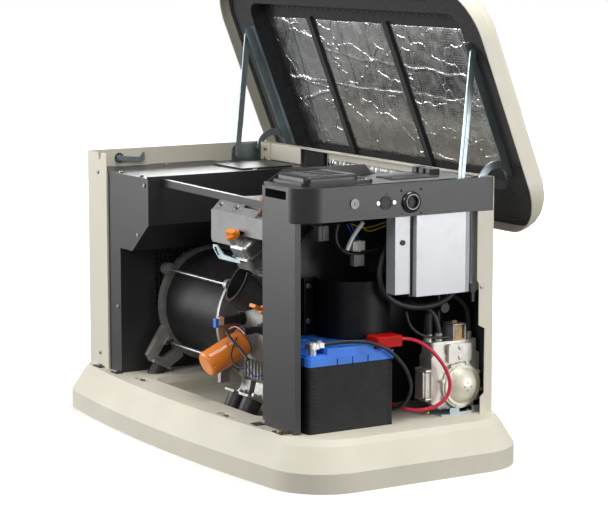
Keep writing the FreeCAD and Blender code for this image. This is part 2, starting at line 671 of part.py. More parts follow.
def crankcase():
    body = rounded(4, 212, -112, 82, 132, 372, 22, V(1, 0, 0))
    sump = rounded(14, 200, -98, 68, 92, 134, 14, V(0, 0, 1))
    feet = []
    for k in (0, 1):
        foot = prism([(-158, 118.5), (-107, 93), (-104.8, 97.5), (-104, 140), (-112, 140),
                      (-120, 106), (-155.8, 123)], "YZ", 20 + 62 * k, 60 + 62 * k)
        feet += [foot, mirror_y(foot)]
    fins = [box(40 + 14 * k, 44 + 14 * k, -118, -112, 150, 190) for k in range(9)]
    neck = cyl(STICK_P, STICK_D, 6, 36)
    for side in (-1, 1):
        body = body.cut(tilt(box(-10, 230, -160, 160, BARREL_S, 300), side))
    body = union(body, sump, neck, filter_seat(), *feet, *fins)
    bore = cyl((0, AXIS_Y, AXIS_Z), (1, 0, 0), 72, 214)
    front = tube((4, AXIS_Y, AXIS_Z), (1, 0, 0), 72, SHAFT_R + RUN_FIT, 16)
    back = tube((196, AXIS_Y, AXIS_Z), (1, 0, 0), 72, SHAFT_R + RUN_FIT, 16)
    stick = cyl(V(*STICK_P) - V(*STICK_D) * 30, STICK_D, 3.2 + RUN_FIT, 70)
    return union(body.cut(bore), front, back).cut(stick)


def tilt(shape, side):
    """From a frame standing on the crank axis to one bank of the engine."""
    s = shape.copy()
    s.rotate(V(0, 0, 0), V(1, 0, 0), -BANK_LEAN * side)
    s.translate(V(0, AXIS_Y, AXIS_Z))
    return s


def cylinders():
    out = []
    for side in (-1, 1):
        x = BANK_X - 6 * side
        barrel = cyl((x, 0, BARREL_S), (0, 0, 1), 29, HEAD_S - BARREL_S)
        head = rounded(BANK_X - 34, BANK_X + 36, -48, 52, HEAD_S, COVER_S, 10)
        fins = [rounded(x - 36, x + 36, -32, 32, BARREL_S + 6 + 9 * k, BARREL_S + 9 + 9 * k, 14)
                for k in range(9)]
        port = cyl((BANK_X + 20, 20 * side, HEAD_S - 8), (0, 0, 1), 17, 12)
        out.append(tilt(union(barrel, head, port, *fins), side))
    return group(out)


def valve_covers():
    out = []
    x = BANK_X
    for side in (-1, 1):
        base = rounded(x - 38, x + 38, -48, 44, COVER_S, COVER_S + 6, 12)
        top = rounded(x - 35, x + 35, -44, 40, COVER_S + 6, CROWN_S, 14)
        top = soften(top, 9, (0, -100, CROWN_S - 1), (300, 100, CROWN_S + 1))
        part = union(base, top)
        if side < 0:
            part = union(part, cyl((CAP_X, CAP_T, CROWN_S - 10), (0, 0, 1), 14, 24))
            part = part.cut(cyl((CAP_X, CAP_T, CROWN_S - 6), (0, 0, 1), 11.05, 40))
        bolts = [cyl((x + a, b, COVER_S + 6), (0, 0, 1), 4, 4)
                 for a in (-33, 33) for b in (-42, 38)]
        out.append(tilt(union(part, *bolts), side))
    return group(out)


def oil_cap():
    z = CROWN_S + 14.4
    stem = cyl((CAP_X, CAP_T, z - 18), (0, 0, 1), 11.0, 18)
    knob = cyl((CAP_X, CAP_T, z), (0, 0, 1), 16, 7)
    grip = rounded(CAP_X - 18, CAP_X + 18, CAP_T - 6, CAP_T + 6, z + 7, z + 15, 5)
    return tilt(union(stem, knob, grip), -1)


def cylinder_shroud():
    """Black moulded cooling cover round the front barrel, with an intake drum."""
    x = BANK_X + 6
    part = rounded(x - 40, x + 40, -37, 37, BARREL_S + 8, BARREL_S + 66, 12)
    hollow = rounded(x - 37, x + 37, -34, 34, BARREL_S, BARREL_S + 80, 10)
    shell = tilt(part.cut(hollow), -1)
    d = V(*DRUM_D)
    d.normalize()
    c = V(*DRUM_C)
    wall = Part.makeCone(62, 45, 58, c - d * 58, d)
    lip = Part.makeCylinder(47, 7, c - d * 7, d)
    bore = Part.makeCone(37, 40, 32, c - d * 32, d)
    drum = union(wall, lip).cut(Part.makeCylinder(40, 5, c - d * 0.5, d)).cut(bore)
    hub = Part.makeCylinder(12, 10, c - d * 33, d)
    drum = union(drum, hub)
    drum = drum.cut(tilt(box(-60, 300, -200, 200, -60, BARREL_S + 1.5), -1))
    drum = drum.cut(tilt(box(x - 41, x + 41, -38, 38, 50, 400), -1))
    drum = drum.cut(tilt(box(BANK_X - 36, 300, -51, 80, HEAD_S - 10, 400), -1))
    drum = drum.cut(tilt(box(BANK_X - 40, 300, -51, 80, COVER_S - 1.5, 400), -1))
    drum = drum.cut(box(-60, 5, -220, -60, 300, 500))
    return group([shell, max(drum.Solids, key=lambda piece: piece.Volume)])


def shroud_bracket():
    t = 2.5
    y = -165.0
    face = prism([(-24, 522), (-24, 456), (-18, 450), (76, 450), (76, 487), (124, 487),
                  (124, 478), (246, 478), (246, 522)], "XZ", y, y + t)
    top = prism([(y, 520), (y, 522.5), (y + 27, 549), (y + 30, 547)], "YZ", -20, 92)
    low = prism([(y, 520), (y, 522.5), (y + 15, 537), (y + 17, 534)], "YZ", 92, 167)
    cover = rounded(-20, 246, y + 31, 120, 522, 546, 12)
    hood = cover.cut(rounded(-17, 243, y + 34, 117, 500, 543, 10))
    rim = box(-20, 246, y + t, 120, 519.5, 522).cut(box(-8, 240, y + 43, 110, 515, 525))
    return union(face, top, low, hood, rim)


def filter_line():
    d = V(0, -0.91, -0.41)
    d.normalize()
    return V(55, -128.0, 229), d


def oil_filter():
    p, d = filter_line()
    can = Part.makeCylinder(30, 104, p + d * 3.4, d)
    ends = [e for e in can.Edges if abs((e.CenterOfMass - p).dot(d) - 107.4) < 1e-3
            and e.Length > 50]
    out = union(can.makeFillet(9, ends), Part.makeCylinder(26, 3, p + d * 0.4, d))
    for k in range(8):
        a = math.radians(45 * k)
        u = V(1, 0, 0)
        w = d.cross(u)
        c = p + d * 97 + u * 31 * math.cos(a) + w * 31 * math.sin(a)
        out = out.cut(Part.makeCylinder(3.2, 16, c, d))
    return out


def filter_seat():
    p, d = filter_line()
    return Part.makeCylinder(32, 24, p - d * 24, d)


def dipstick():
    p, d = V(*STICK_P), V(*STICK_D)
    d.normalize()
    rod = Part.makeCylinder(3.2, 66, p - d * 28, d)
    cap = Part.makeCylinder(9, 8, p + d * 36.4, d)
    grip = Part.makeBox(26, 8, 24, V(-13, -4, 0))
    grip = grip.makeFillet(3.8, [e for e in grip.Edges if along(e, V(0, 0, 1))])
    grip.Placement = FreeCAD.Placement(p + d * 44.4, FreeCAD.Rotation(V(0, 0, 1), d))
    return union(rod, cap, grip)


def oil_sensors():
    out = []
    for x, z in ((26, 276), (118, 266)):
        body = hex_bolt((x, -112, z), (0, -1, 0), 22, 14)
        tip = cyl((x, -126, z), (0, -1, 0), 8, 22)
        plug = rounded(x - 9, x + 9, -166, -146, z - 8, z + 8, 3, V(0, 1, 0))
        out.append(union(body, tip, plug))
    return group(out)


def rubber_mounts():
    lean = V(*MOUNT_D)
    deck = box(-600, 600, -400, 400, DECK_Z, DECK_Z + 100)
    pad = V(RING_X - 1, -159.545, 122.16)
    out = [Part.makeCylinder(19, 50, pad - lean * 50, lean).common(deck)]
    floor = box(-600, 600, -400, 400, WELL[4], WELL[4] + 100)
    for x in (40, 102):
        top = V(x, MOUNT_Y, WELL[4]) + lean * 39.7
        out.append(Part.makeCylinder(23, 70, top - lean * 70, lean).common(floor))
    return group(out + [mirror_y(m) for m in out])


def muffler():
    y = 158
    can = cyl((40, y, 236), (1, 0, 0), 46, 190)
    can = soften(can, 8, (39, 90, 180), (41, 210, 290))
    inlet = cyl((120, y, 270), (0, 0, 1), 16, 30)
    legs = [box(x, x + 4, y - 26, y + 22, WELL[4], 200).cut(
        box(x - 1, x + 5, y - 16, y + 12, 100, 180)) for x in (60, 200)]
    flange = box(100, 140, y - 20, y + 20, 298, 304)
    return union(can, inlet, flange, *legs)


def crank_rotor():
    x = RING_X - 14
    shaft = cyl((x, AXIS_Y, AXIS_Z), (1, 0, 0), SHAFT_R, 540)
    rotor = cyl((-236, AXIS_Y, AXIS_Z), (1, 0, 0), 82, 172)
    slots = [box(-240, -60, 70, 90, -6, 6) for k in range(4)]
    for k, s in enumerate(slots):
        s.rotate(V(0, 0, 0), V(1, 0, 0), 90 * k + 45)
        s.translate(V(0, AXIS_Y, AXIS_Z))
        rotor = rotor.cut(s)
    web = [cyl((60 + 46 * k, AXIS_Y, AXIS_Z + 4), (1, 0, 0), 48, 14) for k in range(3)]
    return union(shaft, rotor, *web)


def flywheel_fan():
    hub = cyl((218, AXIS_Y, AXIS_Z), (1, 0, 0), 118, 14)
    rim = tube((232, AXIS_Y, AXIS_Z), (1, 0, 0), 118, 108, 18)
    blades = [hub, rim]
    for k in range(16):
        blade = box(232, 254, 52, 112, -2, 2)
        blade.rotate(V(0, 0, 0), V(1, 0, 0), 22.5 * k)
        blade.translate(V(0, AXIS_Y, AXIS_Z))
        blades.append(blade)
    fan = union(*blades)
    return fan.cut(cyl((200, AXIS_Y, AXIS_Z), (1, 0, 0), SHAFT_R, 80))


# ---- lid hinges ---------------------------------------------------------
def slab(points, r, x0, x1):
    """Flat link: straight capsule legs through the given y z points."""
    parts = []
    for (ya, za), (yb, zb) in zip(points, points[1:]):
        n = math.hypot(yb - ya, zb - za)
        u, w = (yb - ya) / n, (zb - za) / n
        parts.append(prism([(ya - w * r, za + u * r), (yb - w * r, zb + u * r),
                            (yb + w * r, zb - u * r), (ya + w * r, za - u * r)], "YZ", x0, x1))
    for y, z in points:
        parts.append(cyl((x0, y, z), (1, 0, 0), r, x1 - x0))
    return union(*parts)


def arch(y0, z0, y1, z1, rise, r, x0, x1):
    """Curved link between two pins, bowed upward."""
    n = math.hypot(y1 - y0, z1 - z0)
    uy, uz = -(z1 - z0) / n, (y1 - y0) / n
    pts = []
    for k in range(13):
        t = k / 12.0
        h = rise * (1 - (2 * t - 1) ** 2) ** 0.62
        pts.append((y0 + (y1 - y0) * t + uy * h, z0 + (z1 - z0) * t + uz * h))
    return slab(pts, r, x0, x1)


def hinge_plates():
    out = []
    plate = plate_yz(480, 483, [(150, 566), (150, 604), (158, 612), (236, 617), (241, 617),
                                (241, 566)])
    p2 = cyl((470.2, P2[0], P2[1]), (1, 0, 0), PIN_R, 10.0)
    head = cyl((470.2, P2[0], P2[1]), (1, 0, 0), 7, 1.3)
    p1 = cyl((463.5, P1[0], P1[1]), (1, 0, 0), PIN_R, 16.8)
    cap = cyl((463.5, P1[0], P1[1]), (1, 0, 0), 7, 1.1)
    side = union(plate, p2, head, p1, cap)
    return both(side)


def hinge_arms():
    arm = arch(P1[0], P1[1], Q1[0], Q1[1], 27, LINK_R, 465, 469)
    arm = arm.cut(cyl((460, P1[0], P1[1]), (1, 0, 0), PIN_R + RUN_FIT, 20))
    pin = cyl((458, Q1[0], Q1[1]), (1, 0, 0), PIN_R, 8)
    head = cyl((458, Q1[0], Q1[1]), (1, 0, 0), 6, 1.5)
    return both(union(arm, pin, head))


def stay_struts():
    bar = slab([P2, Q2], 7.5, 472, 476)
    rib = slab([(P2[0] + 3, P2[1] + 26), (Q2[0] - 2, Q2[1] - 22)], 2.5, 476, 477.2)
    bar = union(bar, rib).cut(cyl((460, P2[0], P2[1]), (1, 0, 0), PIN_R + RUN_FIT, 25))
    pin = cyl((463.6, Q2[0], Q2[1]), (1, 0, 0), PIN_R, 9)
    return both(union(bar, pin))


def lid_bars():
    y, z = Q1_SHUT
    web = prism([(y + 16, z + 10), (y + 16, z - 8), (y - 300, z - 8), (y - 300, z + 10)],
                "YZ", 460, 463)
    flange = box(442, 460, y - 300, y + 16, z + 7.5, z + 10)
    bar = union(web, flange)
    bar = bar.cut(cyl((455, y, z), (1, 0, 0), PIN_R + RUN_FIT, 12))
    return open_lid(both(bar))


def lid_skin(inset):
    """Closed lid body: short upright edge, large round, then a low crown."""
    x, y, r = LID_X - inset, LID_Y - inset, LID_R - inset
    lo = LID_LO - (5 if inset else 0)
    skin = rounded(-x, x, -y, y, lo, LID_EAVE, r)
    for k in range(6):
        a, b = math.radians(15 * k), math.radians(15 * k + 15)
        rings = []
        for t in (a, b):
            i = (LID_ROUND - inset) * (1 - math.cos(t))
            z = LID_EAVE + (LID_ROUND - inset) * math.sin(t)
            rings.append(rounded_wire(-x + i, x - i, -y + i, y - i, r - i, z))
        skin = skin.fuse(loft(*rings))
    i, j = LID_ROUND - inset, LID_ROUND + LID_SLOPE - inset
    eave = LID_EAVE + LID_ROUND - inset
    crown = loft(rounded_wire(-x + i, x - i, -y + i, y - i, r - i, eave),
                 rounded_wire(-x + j, x - j, -y + j, y - j, 40, LID_HI - inset))
    return skin.fuse(crown).removeSplitter()


def lid_shell():
    return open_lid(lid_skin(0).cut(lid_skin(LID_T)))


def lid_liner():
    t = 2.5
    e = LID_T + 2.5
    ring = rounded(-LID_X + e, LID_X - e, -LID_Y + e, LID_Y - e, LINER_Z, LINER_Z + t, LID_R - e)
    pan = rounded(-440 - t, 440 + t, -215 - t, 200 + t, LINER_Z, CEIL_Z + t, 42)
    hollow = rounded(-440, 440, -215, 200, LINER_Z - 1, CEIL_Z, 40)
    liner = union(ring, pan).cut(hollow)
    ribs = [box(x - 9, x + 9, -172, 186, CEIL_Z - 8, CEIL_Z) for x in (-234, 92)]
    bead = [slab_xy([(-470, -262), (-400, -262), (-360, -250), (330, -250), (380, -264),
                     (470, -264)], 4.5, LINER_Z - 2.5, LINER_Z)]
    return open_lid(union(liner, *ribs, *bead))


def slab_xy(points, r, z0, z1):
    parts = []
    for (xa, ya), (xb, yb) in zip(points, points[1:]):
        n = math.hypot(xb - xa, yb - ya)
        u, w = (xb - xa) / n, (yb - ya) / n
        parts.append(prism([(xa - w * r, ya + u * r), (xb - w * r, yb + u * r),
                            (xb + w * r, yb - u * r), (xa + w * r, ya - u * r)], "XY", z0, z1))
    for x, y in points:
        parts.append(cyl((x, y, z0), (0, 0, 1), r, z1 - z0))
    return union(*parts)


def foil_panels():
    out = []
    for x0, x1 in ((-436, -245), (-222, 80), (104, 392)):
        out.append(rounded(x0, x1, -164, 178, CEIL_Z - 8, CEIL_Z, 6))
    return open_lid(group(out))


def back_insulation():
    return rounded(-180, 440, HY - SHEET - 9, HY - SHEET, 372, 600, 6, V(0, 1, 0))


# ---- fasteners ----------------------------------------------------------
def stator_bolts():
    out = []
    for a in (143, 37, 217, 323):
        y, z = polar(146, a)
        out.append(union(cyl((RING_X - 14, y, z), (1, 0, 0), 4.5, 294),
                         hex_bolt((RING_X - 14, y, z), (-1, 0, 0), 13, 8)))
    return out


def screws_zinc():
    out = stator_bolts() + base_bolts()
    for z in (573, 139):
        out.append(screw((-430, -HY, z), (0, -1, 0)))
    for x, z in ((-240, 444), (-345, 262), (-205, 562)):
        out.append(screw((x, -238, z), (0, -1, 0)))
    for x, y in ((-440, -228), (-430, -60), (-400, 90), (-340, -228), (-240, -228), (-215, 60)):
        out.append(screw((x, y, 579), (0, 0, 1), 5.5, 4))
    out.append(screw((HX, 214, 383), (1, 0, 0), 4))
    out.append(screw((470, 18, 491), (1, 0, 0), 5))
    for z in (312, 388):
        out.append(screw((306, -114, z), (1, 0, 0), 6, 3.5))
    for x in (0, 70):
        out.append(hex_bolt((x, -153, 534.6), V(0, -0.7071, 0.7071), 12, 6))
    for x in (40, 102):
        foot = V(x, MOUNT_Y, WELL[4]) + V(*MOUNT_D) * 45.6
        out.append(hex_bolt(tuple(foot), V(*MOUNT_D), 11, 8))
    return group(out)


def screws_brass():
    out = [screw((421, -254, DECK_Z + 2), (0, 0, 1), 6, 4),
           screw((-434, HY - 24, 606), (0, -1, 0), 5.5, 3.5),
           screw((-434, HY - 24, 581), (0, -1, 0), 5.5, 3.5),
           screw((430, 112, DECK_Z + 3), (0, 0, 1), 6, 4),
           screw((452, 205, DECK_Z + 3), (0, 0, 1), 6, 4)]
    return group(out)


PARTS = {
    "base_tray": base_tray, "left_wall": left_wall,
    "back_wall": back_wall, "back_insulation": back_insulation,
    "right_rear_post": right_rear_post, "intake_duct": intake_duct,
    "duct_top_plate": duct_top_plate, "front_top_rail": front_top_rail,
    "bay_divider": bay_divider, "control_band": control_band, "control_deck": control_deck,
    "controller_housing": controller_housing, "controller_screen": controller_screen,
    "status_window": status_window, "stop_bezel": stop_bezel, "stop_button": stop_button,
    "lock_bodies": lock_bodies, "lock_plug": lock_plug, "latch_cam": latch_cam,
    "module_cover": module_cover, "air_canister": air_canister,
    "battery_case": battery_case, "battery_cover": battery_cover,
    "battery_posts": battery_posts, "terminal_boot": terminal_boot,
    "battery_lead_black": battery_lead_black, "battery_lead_red": battery_lead_red,
    "regulator_body": regulator_body, "regulator_diaphragm": regulator_diaphragm,
    "solenoid_coil": solenoid_coil, "zinc_brackets": zinc_brackets,
    "fuel_hose_long": fuel_hose_long, "fuel_hose_short": fuel_hose_short,
    "wiring_loop": wiring_loop, "end_bell": end_bell, "stator_can": stator_can,
    "stator_core": stator_core, "engine_adapter": engine_adapter,
    "crankcase": crankcase, "cylinders": cylinders, "valve_covers": valve_covers,
    "oil_cap": oil_cap, "cylinder_shroud": cylinder_shroud,
    "shroud_bracket": shroud_bracket, "oil_filter": oil_filter, "dipstick": dipstick,
    "oil_sensors": oil_sensors, "rubber_mounts": rubber_mounts, "muffler": muffler,
    "crank_rotor": crank_rotor, "flywheel_fan": flywheel_fan,
    "hinge_plates": hinge_plates, "hinge_arms": hinge_arms, "stay_struts": stay_struts,
    "lid_bars": lid_bars, "lid_shell": lid_shell, "lid_liner": lid_liner,
    "foil_panels": foil_panels, "screws_zinc": screws_zinc, "screws_brass": screws_brass,
}

for node, make in PARTS.items():
    save(node, make())
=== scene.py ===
"""Looks of the home standby generator: materials, foil, cords and small trim.

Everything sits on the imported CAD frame. Places are in the CAD's own axes, in mm, and
at() turns them to metres. The stage, lights and camera are in metres.
"""

import math
import random

import bmesh
import bpy
from mathutils import Matrix, Vector, noise


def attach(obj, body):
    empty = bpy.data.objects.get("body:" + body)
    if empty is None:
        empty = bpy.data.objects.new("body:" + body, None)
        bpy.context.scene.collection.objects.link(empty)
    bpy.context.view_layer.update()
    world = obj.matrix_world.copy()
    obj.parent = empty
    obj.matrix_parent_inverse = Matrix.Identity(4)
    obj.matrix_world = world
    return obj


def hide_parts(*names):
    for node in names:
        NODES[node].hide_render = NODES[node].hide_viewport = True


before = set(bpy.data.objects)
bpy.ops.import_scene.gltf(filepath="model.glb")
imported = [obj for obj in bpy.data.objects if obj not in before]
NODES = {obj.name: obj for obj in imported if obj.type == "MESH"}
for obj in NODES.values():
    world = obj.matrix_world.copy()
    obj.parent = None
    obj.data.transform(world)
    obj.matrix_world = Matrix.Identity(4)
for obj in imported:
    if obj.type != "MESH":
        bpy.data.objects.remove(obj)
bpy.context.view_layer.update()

MM = 0.001
UP = (0, 0, 1)
DOWN = (0, 0, -1)
OUT_RIGHT = (1, 0, 0)

LID_OPEN = math.radians(68.3)   # turn of the lid as a whole, shut to open
LID_PIN_SHUT, LID_PIN_OPEN = (147.0, 612.0), (296.0, 624.0)   # y z of the pin on the arms


def at(x, y, z):
    """A place in mm as a vector in metres."""
    return Vector((x, y, z)) * MM


# Carries a mesh drawn on the shut lid to the open lid of the rest pose.
OPEN = (Matrix.Translation(at(0, *LID_PIN_OPEN)) @ Matrix.Rotation(-LID_OPEN, 4, "X")
        @ Matrix.Translation(-at(0, *LID_PIN_SHUT)))


# ---- material tools -----------------------------------------------------
NOISE_LOW, NOISE_HIGH = 0.3, 0.7   # the part of a noise's range that colours and gloss use


class Surface:
    """One Principled material in object space, in metres."""

    def __init__(self, name, colour, rough, metal=0.0):
        self.mat = bpy.data.materials.new(name)
        self.mat.use_nodes = True
        self.tree = self.mat.node_tree
        self.bsdf = self.tree.nodes["Principled BSDF"]
        self.set("Base Color", (*colour, 1.0))
        self.set("Roughness", rough)
        self.set("Metallic", metal)
        self.colour = colour
        self.coords = self.node("ShaderNodeTexCoord").outputs["Object"]
        self.height = None

    def node(self, kind, **inputs):
        """A new node with constants on its sockets, spaces written as underscores."""
        n = self.tree.nodes.new(kind)
        for key, value in inputs.items():
            n.inputs[key.replace("_", " ")].default_value = value
        return n

    def set(self, socket, value):
        self.bsdf.inputs[socket].default_value = value

    def link(self, out, into):
        self.tree.links.new(out, into)

    def stretch(self, x, y, z):
        """Object coordinates scaled along each axis."""
        m = self.node("ShaderNodeMapping")
        m.inputs["Scale"].default_value = (x, y, z)
        self.link(self.coords, m.inputs["Vector"])
        return m.outputs["Vector"]

    def noise(self, scale, detail=3.0, vector=None):
        n = self.node("ShaderNodeTexNoise", Scale=scale, Detail=detail)
        self.link(vector or self.coords, n.inputs["Vector"])
        return n.outputs["Fac"]

    def cells(self, scale, vector=None):
        """Distance to the nearest edge between Voronoi cells."""
        n = self.node("ShaderNodeTexVoronoi", Scale=scale)
        n.feature = "DISTANCE_TO_EDGE"
        self.link(vector or self.coords, n.inputs["Vector"])
        return n.outputs["Distance"]

    def span(self, fac, lo, hi, low_out, high_out):
        """Value carried from the range lo to hi into low_out to high_out."""
        m = self.node("ShaderNodeMapRange")
        for key, value in zip(("From Min", "From Max", "To Min", "To Max"),
                              (lo, hi, low_out, high_out)):
            m.inputs[key].default_value = value
        self.link(fac, m.inputs["Value"])
        return m.outputs["Result"]

    def tint(self, fac, dark, light):
        """Base colour between two shades of the material's own colour."""
        ramp = self.node("ShaderNodeValToRGB")
        first, last = ramp.color_ramp.elements
        first.position, last.position = NOISE_LOW, NOISE_HIGH
        first.color = (*(c * dark for c in self.colour), 1)
        last.color = (*(min(1, c * light) for c in self.colour), 1)
        self.link(fac, ramp.inputs["Fac"])
        self.link(ramp.outputs["Color"], self.bsdf.inputs["Base Color"])
        return self

    def vary_rough(self, fac, low, high):
        rough = self.span(fac, NOISE_LOW, NOISE_HIGH, low, high)
        self.link(rough, self.bsdf.inputs["Roughness"])
        return self

    def bump(self, fac, strength, depth_mm):
        """Relief added over the bumps that the material already has."""
        b = self.node("ShaderNodeBump", Strength=strength, Distance=depth_mm * MM)
        self.link(fac, b.inputs["Height"])
        if self.height:
            self.link(self.height, b.inputs["Normal"])
        self.height = b.outputs["Normal"]
        self.link(self.height, self.bsdf.inputs["Normal"])
        return self


def composite_cream():
    s = Surface("cream_composite", (0.66, 0.625, 0.52), 0.6)
    s.tint(s.noise(9, 4), 0.95, 1.03).vary_rough(s.noise(60), 0.54, 0.68)
    return s.bump(s.noise(520, 4), 0.35, 0.35).bump(s.noise(14), 0.15, 1.0).mat


def paint_cream():
    s = Surface("cream_paint", (0.665, 0.63, 0.525), 0.42)
    s.tint(s.noise(6, 3), 0.97, 1.02).vary_rough(s.noise(45), 0.36, 0.5)
    return s.bump(s.noise(900, 3), 0.18, 0.2).mat


def paint_dark():
    s = Surface("dark_textured_paint", (0.026, 0.026, 0.027), 0.35)
    s.tint(s.noise(1500, 2), 0.72, 1.35).vary_rough(s.noise(700), 0.3, 0.42)
    return s.bump(s.noise(1100, 3), 0.5, 0.3).mat


def paint_black():
    s = Surface("black_satin_paint", (0.009, 0.009, 0.010), 0.40)
    s.set("Specular IOR Level", 0.22)
    s.tint(s.noise(30), 0.8, 1.3).vary_rough(s.noise(120), 0.34, 0.5)
    return s.bump(s.noise(420, 3), 0.25, 0.3).mat


def plastic_black():
    s = Surface("black_plastic", (0.014, 0.014, 0.015), 0.5)
    s.tint(s.noise(26), 0.8, 1.35).vary_rough(s.noise(300), 0.42, 0.6)
    return s.bump(s.noise(900, 3), 0.3, 0.25).mat


def plastic_gloss_black():
    s = Surface("gloss_black_plastic", (0.01, 0.01, 0.012), 0.14)
    s.set("Coat Weight", 0.5)
    return s.vary_rough(s.noise(80), 0.11, 0.2).bump(s.noise(40), 0.06, 0.3).mat


def housing_black():
    s = Surface("housing_black", (0.018, 0.018, 0.019), 0.34)
    s.tint(s.noise(20), 0.85, 1.2)
    return s.vary_rough(s.noise(60), 0.3, 0.4).bump(s.noise(900, 3), 0.08, 0.05).mat


def felt_black():
    s = Surface("black_liner", (0.016, 0.016, 0.017), 0.78)
    s.set("Sheen Weight", 0.15)
    s.tint(s.noise(70, 4), 0.7, 1.4).vary_rough(s.noise(200), 0.7, 0.88)
    return s.bump(s.noise(650, 4), 0.45, 0.4).bump(s.noise(24), 0.2, 1.2).mat


def battery_plastic():
    s = Surface("battery_case_plastic", (0.014, 0.014, 0.015), 0.48)
    s.set("Specular IOR Level", 0.25)
    s.tint(s.noise(35), 0.75, 1.3).vary_rough(s.noise(260), 0.4, 0.58)
    return s.bump(s.noise(700, 4), 0.45, 0.4).mat


def plastic_blue():
    s = Surface("blue_plastic", (0.04, 0.20, 0.74), 0.34)
    s.tint(s.noise(22), 0.85, 1.12).vary_rough(s.noise(160), 0.28, 0.42)
    return s.bump(s.noise(500, 3), 0.12, 0.2).mat


def plastic_orange():
    s = Surface("orange_plastic", (0.86, 0.235, 0.012), 0.36)
    s.tint(s.noise(60), 0.86, 1.08).vary_rough(s.noise(300), 0.3, 0.46)
    return s.bump(s.noise(800, 3), 0.2, 0.25).mat


def paint_orange():
    s = Surface("orange_enamel", (0.95, 0.27, 0.035), 0.22)
    s.set("Coat Weight", 0.4)
    s.tint(s.noise(18), 0.9, 1.06)
    return s.vary_rough(s.noise(150), 0.18, 0.28).bump(s.noise(90), 0.05, 0.2).mat


def rubber_red():
    s = Surface("red_boot_rubber", (0.46, 0.006, 0.003), 0.45)
    s.set("Specular IOR Level", 0.15)
    s.tint(s.noise(40), 0.85, 1.1)
    return s.vary_rough(s.noise(200), 0.4, 0.52).bump(s.noise(500), 0.15, 0.25).mat


def cable_red():
    s = Surface("red_cable_jacket", (0.58, 0.016, 0.055), 0.34)
    s.tint(s.noise(70), 0.88, 1.1)
    return s.vary_rough(s.noise(400), 0.28, 0.42).bump(s.noise(900), 0.12, 0.15).mat


def rubber_black():
    s = Surface("black_rubber", (0.016, 0.016, 0.017), 0.46)
    s.tint(s.noise(60), 0.7, 1.4)
    return s.vary_rough(s.noise(300), 0.38, 0.56).bump(s.noise(900), 0.2, 0.2).mat


def cast_alloy():
    s = Surface("cast_alloy", (0.42, 0.41, 0.40), 0.5, 0.8)
    s.tint(s.noise(48, 5), 0.72, 1.12).vary_rough(s.noise(260, 4), 0.44, 0.64)
    return s.bump(s.noise(620, 4), 0.4, 0.45).bump(s.noise(60, 4), 0.25, 0.8).mat


def dome_alloy():
    s = Surface("gilt_dome", (0.80, 0.77, 0.64), 0.40, 0.35)
    s.tint(s.noise(12, 2), 0.96, 1.03)
    return s.vary_rough(s.noise(120), 0.38, 0.46).bump(s.noise(900), 0.05, 0.1).mat


def zinc_plate():
    s = Surface("zinc_plate", (0.38, 0.45, 0.48), 0.40, 0.85)
    streak = s.noise(30, 4, s.stretch(1.0, 1.0, 0.25))
    s.tint(streak, 0.78, 1.16).vary_rough(s.noise(160, 4), 0.32, 0.48)
    return s.bump(s.noise(500, 4), 0.12, 0.2).mat


def bright_steel():
    s = Surface("bright_screw", (0.42, 0.43, 0.44), 0.32, 1.0)
    return s.tint(s.noise(200), 0.85, 1.05).vary_rough(s.noise(300), 0.26, 0.4).mat


def brass():
    s = Surface("yellow_zinc", (0.78, 0.52, 0.20), 0.28, 1.0)
    return s.tint(s.noise(180), 0.75, 1.1).vary_rough(s.noise(300), 0.22, 0.36).mat


def silver_sheet():
    s = Surface("silver_sheet", (0.50, 0.51, 0.53), 0.38, 0.4)
    s.tint(s.noise(7, 3), 0.95, 1.03)
    return s.vary_rough(s.noise(60), 0.3, 0.42).bump(s.noise(900, 3), 0.08, 0.15).mat


def grey_paint():
    s = Surface("grey_paint", (0.26, 0.26, 0.262), 0.42, 0.2)
    s.tint(s.noise(24, 4), 0.9, 1.1)
    return s.vary_rough(s.noise(180), 0.36, 0.52).bump(s.noise(520, 3), 0.2, 0.25).mat


def steel_stack():
    """Lamination stack: fine rings across the shaft."""
    s = Surface("lamination_steel", (0.30, 0.29, 0.28), 0.46, 1.0)
    wave = s.node("ShaderNodeTexWave", Scale=500.0, Distortion=0.2)
    s.link(s.coords, wave.inputs["Vector"])
    s.tint(s.noise(40, 4), 0.7, 1.15)
    return s.bump(wave.outputs["Fac"], 0.4, 0.3).mat


def coil_wrap():
    s = Surface("coil_wrap", (0.62, 0.42, 0.20), 0.5)
    wave = s.node("ShaderNodeTexWave", Scale=260.0, Distortion=0.4)
    wave.bands_direction = "Z"
    s.link(s.coords, wave.inputs["Vector"])
    s.tint(s.noise(90, 4), 0.75, 1.12)
    return s.bump(wave.outputs["Fac"], 0.5, 0.4).mat


